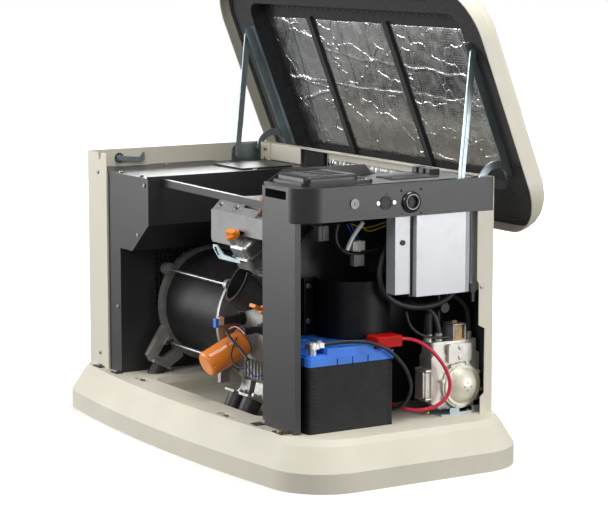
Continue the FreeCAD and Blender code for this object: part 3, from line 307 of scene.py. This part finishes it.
def foil(name, shade):
    """Foil face: long creases, small dents and the square scrim under it."""
    s = Surface(name, (shade, shade, shade), 0.24, 1.0)
    pull = 0.16
    warp = s.node("ShaderNodeTexNoise", Scale=9.0, Detail=3.0)
    s.link(s.coords, warp.inputs["Vector"])
    mix = s.node("ShaderNodeVectorMath")
    mix.operation = "MULTIPLY_ADD"
    s.link(warp.outputs["Color"], mix.inputs[0])
    mix.inputs[1].default_value = (pull, pull, pull)
    s.link(s.coords, mix.inputs[2])
    bent = mix.outputs["Vector"]
    for scale, width, strength, depth in ((9, 0.022, 0.5, 1.5), (34, 0.05, 0.2, 0.5)):
        s.bump(s.span(s.cells(scale, bent), 0.0, width, 1.0, 0.0), strength, depth)
    for axis, scale in (("X", 16.0), ("Z", 56.0)):
        wave = s.node("ShaderNodeTexWave", Scale=scale, Distortion=0.8)
        wave.bands_direction = axis
        s.link(s.coords, wave.inputs["Vector"])
        s.bump(s.span(wave.outputs["Fac"], 0.75, 1.0, 0.0, 1.0), 0.3, 0.4)
    return s.bump(s.noise(150, 4), 0.22, 0.3).vary_rough(s.noise(30), 0.18, 0.32).mat


def cover_alloy():
    s = Surface("die_cast_cover", (0.60, 0.60, 0.59), 0.32, 0.9)
    s.tint(s.noise(26, 4), 0.86, 1.08).vary_rough(s.noise(220, 4), 0.26, 0.4)
    return s.bump(s.noise(700, 4), 0.14, 0.2).mat


def bright_cast():
    s = Surface("bright_cast", (0.66, 0.64, 0.59), 0.36, 0.75)
    s.tint(s.noise(18, 3), 0.85, 1.1).vary_rough(s.noise(120, 3), 0.3, 0.44)
    return s.bump(s.noise(500, 3), 0.06, 0.15).mat


# Near-black sheet material for the bay's inner faces: painted shade for the deep inside of
# the enclosure.
def painted_shade_black():
    s = Surface("painted_shade_sheet", (0.011, 0.011, 0.012), 0.85)
    return s.tint(s.noise(60, 4), 0.7, 1.5).bump(s.noise(420, 4), 0.6, 0.6).mat


def plain(name, colour, rough, metal=0.0):
    s = Surface(name, colour, rough, metal)
    s.tint(s.noise(120), 0.88, 1.08)
    return s.bump(s.noise(700), 0.12, 0.15).mat


def glass_dark():
    s = Surface("dark_glass", (0.01, 0.03, 0.03), 0.06)
    s.set("Coat Weight", 1.0)
    return s.tint(s.noise(260, 2), 0.4, 3.0).mat


MATS = {
    "composite": composite_cream(), "cream": paint_cream(), "dark": paint_dark(),
    "black": paint_black(), "plastic": plastic_black(), "gloss": plastic_gloss_black(),
    "housing": housing_black(), "liner": felt_black(), "battery": battery_plastic(),
    "blue": plastic_blue(), "orange": plastic_orange(), "enamel": paint_orange(),
    "boot": rubber_red(), "red_cable": cable_red(), "rubber": rubber_black(),
    "alloy": cast_alloy(), "dome": dome_alloy(), "zinc": zinc_plate(),
    "screw": bright_steel(), "brass": brass(), "silver": silver_sheet(),
    "grey": grey_paint(), "stack": steel_stack(), "coil": coil_wrap(),
    # The back-wall foil is the lid's foil with its colour cut from 0.82 to 0.2: painted
    # shade for the dark back of the bay.
    "foil": foil("crinkled_foil", 0.82), "shaded_wall_foil": foil("shaded_wall_foil", 0.2),
    "shade_black": painted_shade_black(), "glass": glass_dark(), "cover": cover_alloy(),
    "cast": bright_cast(),
    "lock": plain("lock_chrome", (0.12, 0.12, 0.125), 0.3, 1.0),
    "lead": plain("bright_lead", (0.80, 0.80, 0.79), 0.3, 0.85),
    "white_sleeve": plain("white_sleeve", (0.72, 0.72, 0.70), 0.5),
    "nylon": plain("nylon_plug", (0.55, 0.53, 0.47), 0.45),
    "grey_plug": plain("grey_plug", (0.20, 0.20, 0.20), 0.5),
    "yellow": plain("yellow_wire", (0.75, 0.48, 0.03), 0.4),
    "blue_wire": plain("blue_wire", (0.02, 0.06, 0.40), 0.4),
    "pink": plain("pink_wire", (0.75, 0.22, 0.24), 0.4),
    "tan": plain("tan_plug", (0.72, 0.45, 0.28), 0.45),
    "screen": plain("screen_print", (0.10, 0.20, 0.34), 0.25),
    "amber": plain("amber_print", (0.62, 0.25, 0.05), 0.3),
    "slate": plain("slate_print", (0.16, 0.16, 0.17), 0.35),
}

WEAR = {
    "composite": ["base_tray"],
    "cream": ["left_wall", "back_wall", "right_rear_post", "lid_shell"],
    "dark": ["intake_duct", "duct_top_plate", "front_top_rail", "bay_divider",
             "control_band", "control_deck"],
    "black": ["air_canister", "stator_can", "muffler"],
    "housing": ["controller_housing"],
    "plastic": ["status_window", "cylinder_shroud", "oil_sensors",
                "flywheel_fan", "stop_button"],
    "gloss": ["stop_bezel"],
    "glass": ["controller_screen"],
    "liner": ["lid_liner"],
    "battery": ["battery_case"],
    "blue": ["battery_cover"],
    "boot": ["terminal_boot"],
    "orange": ["oil_cap", "dipstick"],
    "enamel": ["oil_filter"],
    "rubber": ["rubber_mounts"],
    "alloy": ["end_bell", "engine_adapter", "crankcase", "cylinders"],
    "cover": ["valve_covers"],
    "cast": ["regulator_body"],
    "dome": ["regulator_diaphragm"],
    "zinc": ["zinc_brackets", "hinge_plates", "hinge_arms", "stay_struts", "lid_bars",
             "latch_cam"],
    "screw": ["screws_zinc"],
    "lock": ["lock_bodies", "lock_plug"],
    "lead": ["battery_posts"],
    "brass": ["screws_brass"],
    "silver": ["module_cover"],
    "grey": ["shroud_bracket"],
    "stack": ["stator_core", "crank_rotor"],
    "coil": ["solenoid_coil"],
}


def dress_nodes():
    """Give every CAD node in WEAR its material."""
    for key, names in WEAR.items():
        for name in names:
            NODES[name].data.materials.clear()
            NODES[name].data.materials.append(MATS[key])


# ---- mesh tools ---------------------------------------------------------
def piece(name, mesh, key, body, smooth=True):
    """A new object that rides on one body of the frame."""
    obj = bpy.data.objects.new(name, mesh)
    bpy.context.scene.collection.objects.link(obj)
    mesh.materials.append(MATS[key])
    if smooth:
        for poly in mesh.polygons:
            poly.use_smooth = True
    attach(obj, body)
    return obj


def from_bmesh(name, bm):
    mesh = bpy.data.meshes.new(name)
    bm.to_mesh(mesh)
    bm.free()
    return mesh


def add_block(bm, lo, hi, bevel):
    """A bevelled box between two corners in mm."""
    lo, hi = Vector(lo), Vector(hi)
    made = bmesh.ops.create_cube(bm, size=1.0)["verts"]
    for v in made:
        v.co = at(*((lo[i] + hi[i]) / 2 + v.co[i] * (hi[i] - lo[i]) for i in range(3)))
    if bevel:
        edges = {e for v in made for e in v.link_edges}
        bmesh.ops.bevel(bm, geom=list(edges), offset=bevel * MM, segments=2,
                        profile=0.7, affect="EDGES")


def add_disc(bm, centre, axis, r_mm, h_mm, steps=24):
    """A round boss standing on centre along axis, with a softened rim."""
    turn = Vector(UP).rotation_difference(Vector(axis)).to_matrix().to_4x4()
    place = Matrix.Translation(at(*centre)) @ turn
    profile = [(0, 0), (r_mm, 0), (r_mm, h_mm * 0.75), (r_mm * 0.9, h_mm), (0, h_mm)]
    rings = []
    for r, h in profile:
        if r == 0:
            rings.append([bm.verts.new(place @ at(0, 0, h))])
            continue
        turns = [2 * math.pi * k / steps for k in range(steps)]
        rings.append([bm.verts.new(place @ at(r * math.cos(a), r * math.sin(a), h))
                      for a in turns])
    for low, high in zip(rings, rings[1:]):
        for k in range(steps):
            n = (k + 1) % steps
            if len(low) == 1:
                bm.faces.new((low[0], high[n], high[k]))
            elif len(high) == 1:
                bm.faces.new((low[k], low[n], high[0]))
            else:
                bm.faces.new((low[k], low[n], high[n], high[k]))


def blocks(name, corners, key, bevel=1.0):
    """Several boxes as one piece of the enclosure."""
    bm = bmesh.new()
    for lo, hi in corners:
        add_block(bm, lo, hi, bevel)
    piece(name, from_bmesh(name, bm), key, "enclosure", smooth=False)


def discs(name, places, axis, r_mm, h_mm, key):
    """Several equal bosses as one piece of the enclosure."""
    bm = bmesh.new()
    for centre in places:
        add_disc(bm, centre, axis, r_mm, h_mm)
    piece(name, from_bmesh(name, bm), key, "enclosure", smooth=False)


# ---- cords --------------------------------------------------------------
def spline(name, route, dia):
    """A round curve through the route, and the length of its centreline in metres."""
    curve = bpy.data.curves.new(name, "CURVE")
    curve.dimensions = "3D"
    line = curve.splines.new("NURBS")
    line.points.add(len(route) - 1)
    for point, place in zip(line.points, route):
        point.co = (*at(*place), 1.0)
    line.order_u = 3
    line.use_endpoint_u = True
    curve.resolution_u = 10
    curve.bevel_resolution = 5
    curve.use_fill_caps = True
    obj = bpy.data.objects.new(name, curve)
    bpy.context.scene.collection.objects.link(obj)
    bpy.context.view_layer.update()
    drawn = bpy.data.meshes.new_from_object(obj)
    points = [v.co.copy() for v in drawn.vertices]
    bpy.data.meshes.remove(drawn)
    length = sum((b - a).length for a, b in zip(points, points[1:]))
    curve.bevel_depth = dia * MM / 2
    return obj, length


def cord(name, route, dia, key, node=None):
    """A cord of the enclosure along a route in mm, for a CAD node if one is named."""
    obj, length = spline(name, route, dia)
    obj.data.materials.append(MATS[key])
    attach(obj, "enclosure")
    if node:
        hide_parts(node)


WALL_FACE = 290.0   # x of the bay divider, where hidden ends stop

ROUTES = {
    "fuel_hose_long": [(425, 222, 278), (425, 224, 318), (424, 204, 350), (408, 158, 372),
                       (370, 124, 390), (326, 112, 396), (WALL_FACE, 112, 396)],
    "fuel_hose_short": [(425, 143, 280), (424, 140, 314), (412, 116, 338), (375, 92, 350),
                        (330, 84, 346), (WALL_FACE, 88, 340)],
    "wiring_loop": [(WALL_FACE, 70, 470), (350, 62, 484), (400, 32, 484), (424, -2, 458),
                    (430, -15, 422), (431, -8, 386), (433, 22, 358), (438, 66, 344),
                    (444, 110, 344), (451, 148, 356), (455, 172, 381)],
    "battery_lead_black": [(445, -164, 287), (452, -132, 290), (466, -98, 291),
                           (480, -62, 287), (485, -26, 270), (484, 8, 240), (474, 36, 205),
                           (460, 51, 168), (446, 42, 136), (415, 24, 122), (360, 14, 116),
                           (WALL_FACE, 16, 114)],
    "battery_lead_red": [(447, 22, 283), (449, 44, 281.5), (456, 68, 275), (465, 94, 257),
                         (472, 118, 229), (475, 135, 200), (475, 142, 171),
                         (472, 132, 143), (462, 106, 126), (446, 72, 120), (420, 46, 126),
                         (362, 38, 132), (WALL_FACE, 42, 134)],
}


def main_cords():
    cord("hose_long", ROUTES["fuel_hose_long"], 15, "rubber", node="fuel_hose_long")
    cord("hose_short", ROUTES["fuel_hose_short"], 15, "rubber", node="fuel_hose_short")
    cord("loop_of_wiring", ROUTES["wiring_loop"], 13, "rubber", node="wiring_loop")
    cord("lead_black", ROUTES["battery_lead_black"], 8, "rubber",
         node="battery_lead_black")
    cord("lead_red", ROUTES["battery_lead_red"], 8, "red_cable",
         node="battery_lead_red")


def plane_x(x, pairs):
    """A route that keeps one x, from pairs of y and z."""
    return [(x, y, z) for y, z in pairs]


def plane_y(y, pairs):
    """A route that keeps one y, from pairs of x and z."""
    return [(x, y, z) for x, z in pairs]


SMALL_WIRES = [
    ("sleeve", plane_x(395, [(-32, 529), (-50, 510), (-65, 490), (-72, 473)]), 9,
     "white_sleeve", "silver_sheet"),
    ("bay_loop", plane_x(380, [(-85, 527), (-94, 505), (-85, 478), (-57, 460), (-26, 462),
                               (19, 466)]), 8, "rubber", "black_rubber"),
    ("loom_tail", plane_x(316, [(-102, 517), (-132, 492), (-155, 466)]), 5, "rubber",
     "black_rubber"),
    ("yellow_low", plane_x(390, [(-33, 521), (-21, 509), (-6, 508), (31, 518)]), 2.4,
     "yellow", "orange_plastic"),
    ("yellow_high", plane_x(380, [(-50, 525), (-30, 515), (0, 515), (36, 524)]), 2.4,
     "yellow", "orange_plastic"),
    ("blue_one", plane_x(385, [(-66, 527), (-56, 507), (-43, 491)]), 2.4, "blue_wire",
     "blue_plastic"),
    ("blue_two", plane_x(388, [(-60, 529), (-48, 508), (-37, 491)]), 2.4, "blue_wire",
     "blue_plastic"),
    ("coil_lead", plane_x(450, [(42, 339), (47, 315), (65, 294), (93, 280), (140, 272),
                                (160, 276)]), 6, "rubber", "black_rubber"),
    ("pink_wire", plane_y(-170, [(64, 263), (83, 273), (111, 272), (134, 262)]), 3, "pink",
     "red_cable"),
    ("engine_lead", plane_y(-180, [(69, 258), (90, 243), (133, 228), (162, 211)]), 7,
     "rubber", "black_rubber"),
    ("engine_loop", plane_y(-188, [(130, 256), (104, 223), (104, 201), (139, 185),
                                   (175, 198)]), 3.4, "rubber", "black_rubber"),
    ("engine_blue", plane_y(-140, [(100, 178), (112, 162), (134, 164), (156, 172)]), 3,
     "blue_wire", "blue_plastic"),
]


def small_cords():
    for name, route, dia, key, slot in SMALL_WIRES:
        cord(name, route, dia, key)


# ---- foil ---------------------------------------------------------------
FOIL_SPANS = ((-436, -245), (-222, 80), (104, 392))   # x of the three lid panels
FOIL_Y, FOIL_Z = (-164, 178), 661.5                   # on the shut lid
WALL_FOIL_X, WALL_FOIL_Z, WALL_FOIL_Y = (-180, 440), (372, 600), 241.0
CREASES = 7                                           # long folds on each panel
EDGE_ROUND = 5.0                                      # width of the pressed edge
PAD_DEPTH, PAD_THINNEST = 3.2, 0.4                    # before and after the creases


def crease_lines(x0, x1, y0, y1, seed, count):
    """Long folds across a panel: end points, height and half width in mm."""
    draw = random.Random(seed)
    lines = []
    for k in range(count):
        level = draw.uniform(y0 + 30, y1 - 30)
        if k % 3 == 0:
            ends = ((x0, level), (x1, level + draw.uniform(-40, 40)))
        else:
            top = draw.uniform(x0, x1)
            ends = ((top, y0), (top + draw.uniform(-70, 70), y1))
        lines.append((*ends, draw.uniform(0.7, 1.8), draw.uniform(2.5, 5.0)))
    return lines


def crinkle(x, y, seed, lines):
    """Depth of creased foil at a point in mm: slow rolls, dents and long folds."""
    p = Vector((x, y, seed * 3.7))
    cells = noise.voronoi(p / 70)[0]
    depth = 1.3 * noise.noise(p / 110) + 0.5 * min(1.0, (cells[1] - cells[0]) * 2)
    depth += 0.35 * noise.noise(p / 22)
    swing = 9 * noise.noise(p / 60)
    for (xa, ya), (xb, yb), height, half in lines:
        run = Vector((xb - xa, yb - ya)).normalized()
        away = abs((x - xa) * run.y - (y - ya) * run.x + swing)
        depth += height * max(0.0, 1 - away / half)
    return depth


def foil_sheet(x0, x1, y0, y1, seed, step=2.5):
    """Foil face in the shut lid's frame, heights down from zero, edges uneven."""
    nx, ny = int((x1 - x0) / step), int((y1 - y0) / step)
    lines = crease_lines(x0, x1, y0, y1, seed, CREASES)
    bm = bmesh.new()
    rows = []
    for j in range(ny + 1):
        row = []
        for i in range(nx + 1):
            x, y = x0 + (x1 - x0) * i / nx, y0 + (y1 - y0) * j / ny
            edge = min(i, nx - i, j + 3, ny - j) * step
            puff = 1 - math.exp(-edge / EDGE_ROUND)
            wobble = 2.4 * noise.noise(Vector((x / 30, y / 30, seed)))
            if i in (0, nx):
                x += wobble
            if j in (0, ny):
                y += wobble
            depth = PAD_DEPTH + crinkle(x, y, seed, lines)
            row.append(bm.verts.new(at(x, y, -puff * max(PAD_THINNEST, depth))))
        rows.append(row)
    for a, b in zip(rows, rows[1:]):
        for i in range(nx):
            bm.faces.new((a[i], b[i], b[i + 1], a[i + 1]))
    return bm


def lid_foils():
    """The three foil-faced pads inside the lid, as one piece."""
    bm = bmesh.new()
    for seed, (x0, x1) in enumerate(FOIL_SPANS, start=11):
        part = foil_sheet(x0, x1, *FOIL_Y, seed)
        part.transform(Matrix.Translation(at(0, 0, FOIL_Z)))
        mesh = from_bmesh("foil_part", part)
        bm.from_mesh(mesh)
        bpy.data.meshes.remove(mesh)
    bm.transform(OPEN)
    obj = piece("lid_foil", from_bmesh("lid_foil", bm), "foil", "lid")
    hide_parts("foil_panels")


def shaded_wall_foil():
    """Foil-faced pad on the inside of the back wall, its foil darkened to a quarter of the
    lid foil's brightness as painted shade.
    """
    bm = foil_sheet(*WALL_FOIL_X, *WALL_FOIL_Z, seed=31, step=4.0)
    stand = Matrix(((1, 0, 0, 0), (0, 0, 1, WALL_FOIL_Y * MM), (0, 1, 0, 0), (0, 0, 0, 1)))
    bm.transform(stand)
    obj = piece("shaded_wall_foil", from_bmesh("shaded_wall_foil", bm), "shaded_wall_foil", "enclosure")
    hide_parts("back_insulation")


# ---- trim ---------------------------------------------------------------
def wall_shade_sheets():
    """Near-black sheets on the inner faces behind the alternator and in the service bay,
    standing in as painted shade for the dark depth there.
    """
    # Each block is a thin black sheet on a wall face, painting the shade inside the bay.
    blocks("bay_shade_sheets", [((-478, 236, 210), (284, 241, 371)),
                          ((-478, 236, 108), (-310, 241, 210)),
                          ((14, 236, 108), (284, 241, 210)),
                          ((-478, 236, 371), (-184, 241, 574)),
                          ((-265, 232, 574), (-183, 240.9, 613)),
                          ((292, 240.9, 107), (482, 241.4, 371))],
           "shade_black", bevel=0)


def corner_box(centre, size):
    """Two corners of a box from its centre and size."""
    return tuple([c + side * d / 2 for c, d in zip(centre, size)] for side in (-1, 1))


def bay_connectors():
    """Plugs on the loom and the oil sensors, and the clip on the shroud bracket."""
    blocks("loom_plug_white", [corner_box((385, -41, 479), (18, 30, 20)),
                               corner_box((385, -41, 479), (21, 6, 24)),
                               corner_box((385, -50, 479), (20, 3, 22))],
           "nylon")
    blocks("loom_plug_grey", [corner_box((385, -40, 448), (16, 26, 24)),
                              corner_box((385, -40, 452), (19, 20, 6)),
                              corner_box((385, -40, 443), (19, 20, 4)),
                              corner_box((330, -95, 503), (18, 26, 32)),
                              corner_box((330, -95, 503), (22, 8, 26))],
           "grey_plug")
    blocks("sensor_plug_tan", [corner_box((26, -172, 276), (17, 12, 17))], "tan")
    blocks("sensor_clip_blue", [corner_box((26, -182, 272), (13, 9, 20))], "blue")
    blocks("bracket_clip", [((150, -141, 546), (160, -135, 566)),
                            ((150, -143, 536), (156, -139, 552))], "orange")


def panel_trim():
    """Screws beside the status window and the dark yoke round the valve coil."""
    discs("window_screws", [(485, -54, 580), (485, -14, 580)], OUT_RIGHT, 4.2, 2.2,
          "lead")
    blocks("coil_yoke", [((409, 164.8, 297), (449.6, 199.2, 300.6)),
                         ((409, 164.8, 264), (449.6, 169, 300)),
                         ((409, 195, 264), (449.6, 199.2, 300))], "alloy",
           bevel=0.8)


def foot_tabs():
    """Black feet of the duct on the deck, each with its bolt."""
    blocks("duct_feet", [((-446, -257, 105), (-410, -239, 107.5)),
                         ((-352, -258, 105), (-322, -239, 107.5))], "plastic", bevel=0.6)
    discs("duct_foot_bolts", [(-428, -249, 107.5), (-337, -250, 107.5)], UP, 6, 4,
          "screw")


def battery_ladders():
    """Moulded grip bars down the corners of the battery case."""
    end_face, foot, top, pitch, width, height = 470.0, 100, 240, 8, 9, 3
    bars = []
    for z in range(foot, top, pitch):
        for y in (-207, -17):
            bars.append(((end_face - 0.5, y, z), (end_face + 0.9, y + width, z + height)))
        for x in (300, 456):
            bars.append(((x, -212.9, z), (x + width, -211.5, z + height)))
    blocks("battery_bars", bars, "battery", bevel=0.4)


def module_trim():
    """Dark seams and screw of the module cover, and the catch on the rear post."""
    blocks("module_seams", [((470.1, 37.6, 376), (470.9, 43.4, 549)),
                            ((470.1, 190.6, 378), (470.9, 193.6, 549)),
                            ((434.5, -0.6, 381), (436.5, 0.2, 549))], "gloss", bevel=0.2)
    discs("module_screw", [(470, 18, 491)], OUT_RIGHT, 5.8, 3.8, "plastic")
    blocks("post_catch", [((478, 186, 372), (482.6, 200, 392)),
                          ((478, 190, 352), (482, 197, 374))], "plastic", bevel=0.8)


def fuel_trim():
    """Ribbed hose on the front port and the round plug above the regulator."""
    x, y, foot, pitch = 425, 116, 280, 4.0
    rings = [(x, y, foot + 1 + pitch * k) for k in range(11)]
    discs("ribbed_hose", rings, UP, 9.6, 3.2, "rubber")
    discs("ribbed_core", [(x, y, foot)], UP, 8.2, 46, "rubber")
    discs("round_plug", [(428, 152, 336)], OUT_RIGHT, 12, 10, "plastic")


LID_HALF_X, LID_HALF_Y = 545.0, 290.0


def rim_path(inset, z, radius, steps=10):
    """Rounded rectangle inside the shut lid's edge, as points in mm."""
    half_x, half_y = LID_HALF_X - inset, LID_HALF_Y - inset
    out = []
    for k, (sx, sy) in enumerate(((1, 1), (-1, 1), (-1, -1), (1, -1))):
        cx, cy = sx * (half_x - radius), sy * (half_y - radius)
        for j in range(steps + 1):
            a = math.pi / 2 * (k + j / steps)
            out.append((cx + radius * math.cos(a), cy + radius * math.sin(a), z))
    return out


def lid_gasket():
    """Black rubber bead round the liner, just inside the lid's edge."""
    path = rim_path(inset=20, z=623.5, radius=102)
    bm = bmesh.new()
    sides, r = 10, 4.5
    rings = []
    for i, point in enumerate(path):
        before, after = Vector(path[i - 1]), Vector(path[(i + 1) % len(path)])
        run = (after - before).normalized()
        out = run.cross(Vector(UP))
        ring = []
        for k in range(sides):
            a = 2 * math.pi * k / sides
            ring.append(bm.verts.new(at(*(Vector(point) + out * r * math.cos(a)
                                          + Vector(UP) * r * math.sin(a)))))
        rings.append(ring)
    for i, ring in enumerate(rings):
        after = rings[(i + 1) % len(rings)]
        for k in range(sides):
            n = (k + 1) % sides
            bm.faces.new((ring[k], ring[n], after[n], after[k]))
    bmesh.ops.recalc_face_normals(bm, faces=bm.faces)
    bm.transform(OPEN)
    piece("lid_gasket", from_bmesh("lid_gasket", bm), "rubber", "lid")


def liner_rivets():
    """A row of small rivets along the front edge of the lid's liner."""
    end, pitch = 400, 25
    bm = bmesh.new()
    for x in range(-end, end + 1, pitch):
        add_disc(bm, (x, -190, 662), DOWN, 1.8, 1.2, steps=10)
    bm.transform(OPEN)
    piece("liner_rivets", from_bmesh("liner_rivets", bm), "grey_plug", "lid",
          smooth=False)


# ---- stage, lights and camera, in metres --------------------------------
FLOOR_HALF = 7
GLOW_FROM, GLOW_TO = 0.75, 1.5                   # distance over which the floor whitens
GLOW_WEAK, GLOW_FULL = 0.08, 1.0
SKY_LOW, SKY_HIGH = -0.7, 0.5                    # z of the view ray
SKY_DARK, SKY_BRIGHT, SKY_SEEN = 0.14, 0.5, 1.0  # strengths
MIDDLE = (0, 0, 0.4)
AREA_LIGHTS = [   # name, place, size, watts
    ("left_box", (-3.4, -3.6, 1.1), (2.2, 2.2), 145),
    ("front_box", (1.8, -4.2, 2.8), (1.8, 1.8), 60),
    ("right_box", (4.0, 2.4, 0.85), (2.2, 1.7), 82),
    ("back_box", (-4.2, 2.8, 1.3), (2.0, 1.6), 90),
    ("top_box", (0.9, 0.5, 3.9), (2.2, 1.8), 110),
]
LENS_MM, SENSOR_MM = 134.63, 36.0
CAMERA_PLACE = (4.3909, -2.6347, 1.1458)
CAMERA_DIP_DEG, CAMERA_TURN_DEG = 8.343, 58.423


def set_stage():
    """A white floor that takes a soft shadow and fades into the white behind it."""
    bm = bmesh.new()
    bmesh.ops.create_grid(bm, x_segments=1, y_segments=1, size=FLOOR_HALF)
    mesh = from_bmesh("floor", bm)
    floor = bpy.data.objects.new("floor", mesh)
    bpy.context.scene.collection.objects.link(floor)
    s = Surface("pale_floor", (0.90, 0.90, 0.90), 0.9)
    s.set("Emission Color", (1.0, 1.0, 1.0, 1.0))
    reach = s.node("ShaderNodeVectorMath")
    reach.operation = "LENGTH"
    s.link(s.coords, reach.inputs[0])
    glow = s.span(reach.outputs["Value"], GLOW_FROM, GLOW_TO, GLOW_WEAK, GLOW_FULL)
    s.link(glow, s.bsdf.inputs["Emission Strength"])
    mesh.materials.append(s.mat)
    floor.visible_glossy = False
    floor.visible_diffuse = False


def area_light(name, place, size, power):
    """A rectangular light that faces the middle of the part."""
    light = bpy.data.lights.new(name, "AREA")
    light.shape = "RECTANGLE"
    light.size, light.size_y = size
    light.energy = power
    obj = bpy.data.objects.new(name, light)
    bpy.context.scene.collection.objects.link(obj)
    obj.location = place
    aim = Vector(MIDDLE) - Vector(place)
    obj.rotation_euler = aim.to_track_quat("-Z", "Y").to_euler()


def studio_world():
    """White seen directly; light falls off from the zenith to a dark floor side."""
    world = bpy.data.worlds.new("studio")
    world.use_nodes = True
    tree = world.node_tree
    back = tree.nodes["Background"]
    back.inputs["Color"].default_value = (1.0, 1.0, 1.0, 1.0)
    coords = tree.nodes.new("ShaderNodeTexCoord")
    split = tree.nodes.new("ShaderNodeSeparateXYZ")
    tree.links.new(coords.outputs["Generated"], split.inputs[0])
    fade = tree.nodes.new("ShaderNodeMapRange")
    for key, value in (("From Min", SKY_LOW), ("From Max", SKY_HIGH),
                       ("To Min", SKY_DARK), ("To Max", SKY_BRIGHT)):
        fade.inputs[key].default_value = value
    tree.links.new(split.outputs["Z"], fade.inputs["Value"])
    path = tree.nodes.new("ShaderNodeLightPath")
    pick = tree.nodes.new("ShaderNodeMix")
    tree.links.new(path.outputs["Is Camera Ray"], pick.inputs["Factor"])
    tree.links.new(fade.outputs["Result"], pick.inputs[2])
    pick.inputs[3].default_value = SKY_SEEN
    tree.links.new(pick.outputs[0], back.inputs["Strength"])
    bpy.context.scene.world = world


def light_stage():
    studio_world()
    for name, place, size, power in AREA_LIGHTS:
        area_light(name, place, size, power)
    bpy.context.scene.view_settings.view_transform = "Standard"


def place_camera():
    cam = bpy.data.cameras.new("camera")
    cam.lens = LENS_MM
    cam.sensor_width = SENSOR_MM
    obj = bpy.data.objects.new("camera", cam)
    bpy.context.scene.collection.objects.link(obj)
    obj.location = CAMERA_PLACE
    obj.rotation_euler = (math.radians(90 - CAMERA_DIP_DEG), 0.0,
                          math.radians(CAMERA_TURN_DEG))
    bpy.context.scene.camera = obj


dress_nodes()
main_cords()
small_cords()
lid_foils()
shaded_wall_foil()
wall_shade_sheets()
bay_connectors()
panel_trim()
foot_tabs()
battery_ladders()
module_trim()
fuel_trim()
lid_gasket()
liner_rivets()
set_stage()
light_stage()
place_camera()
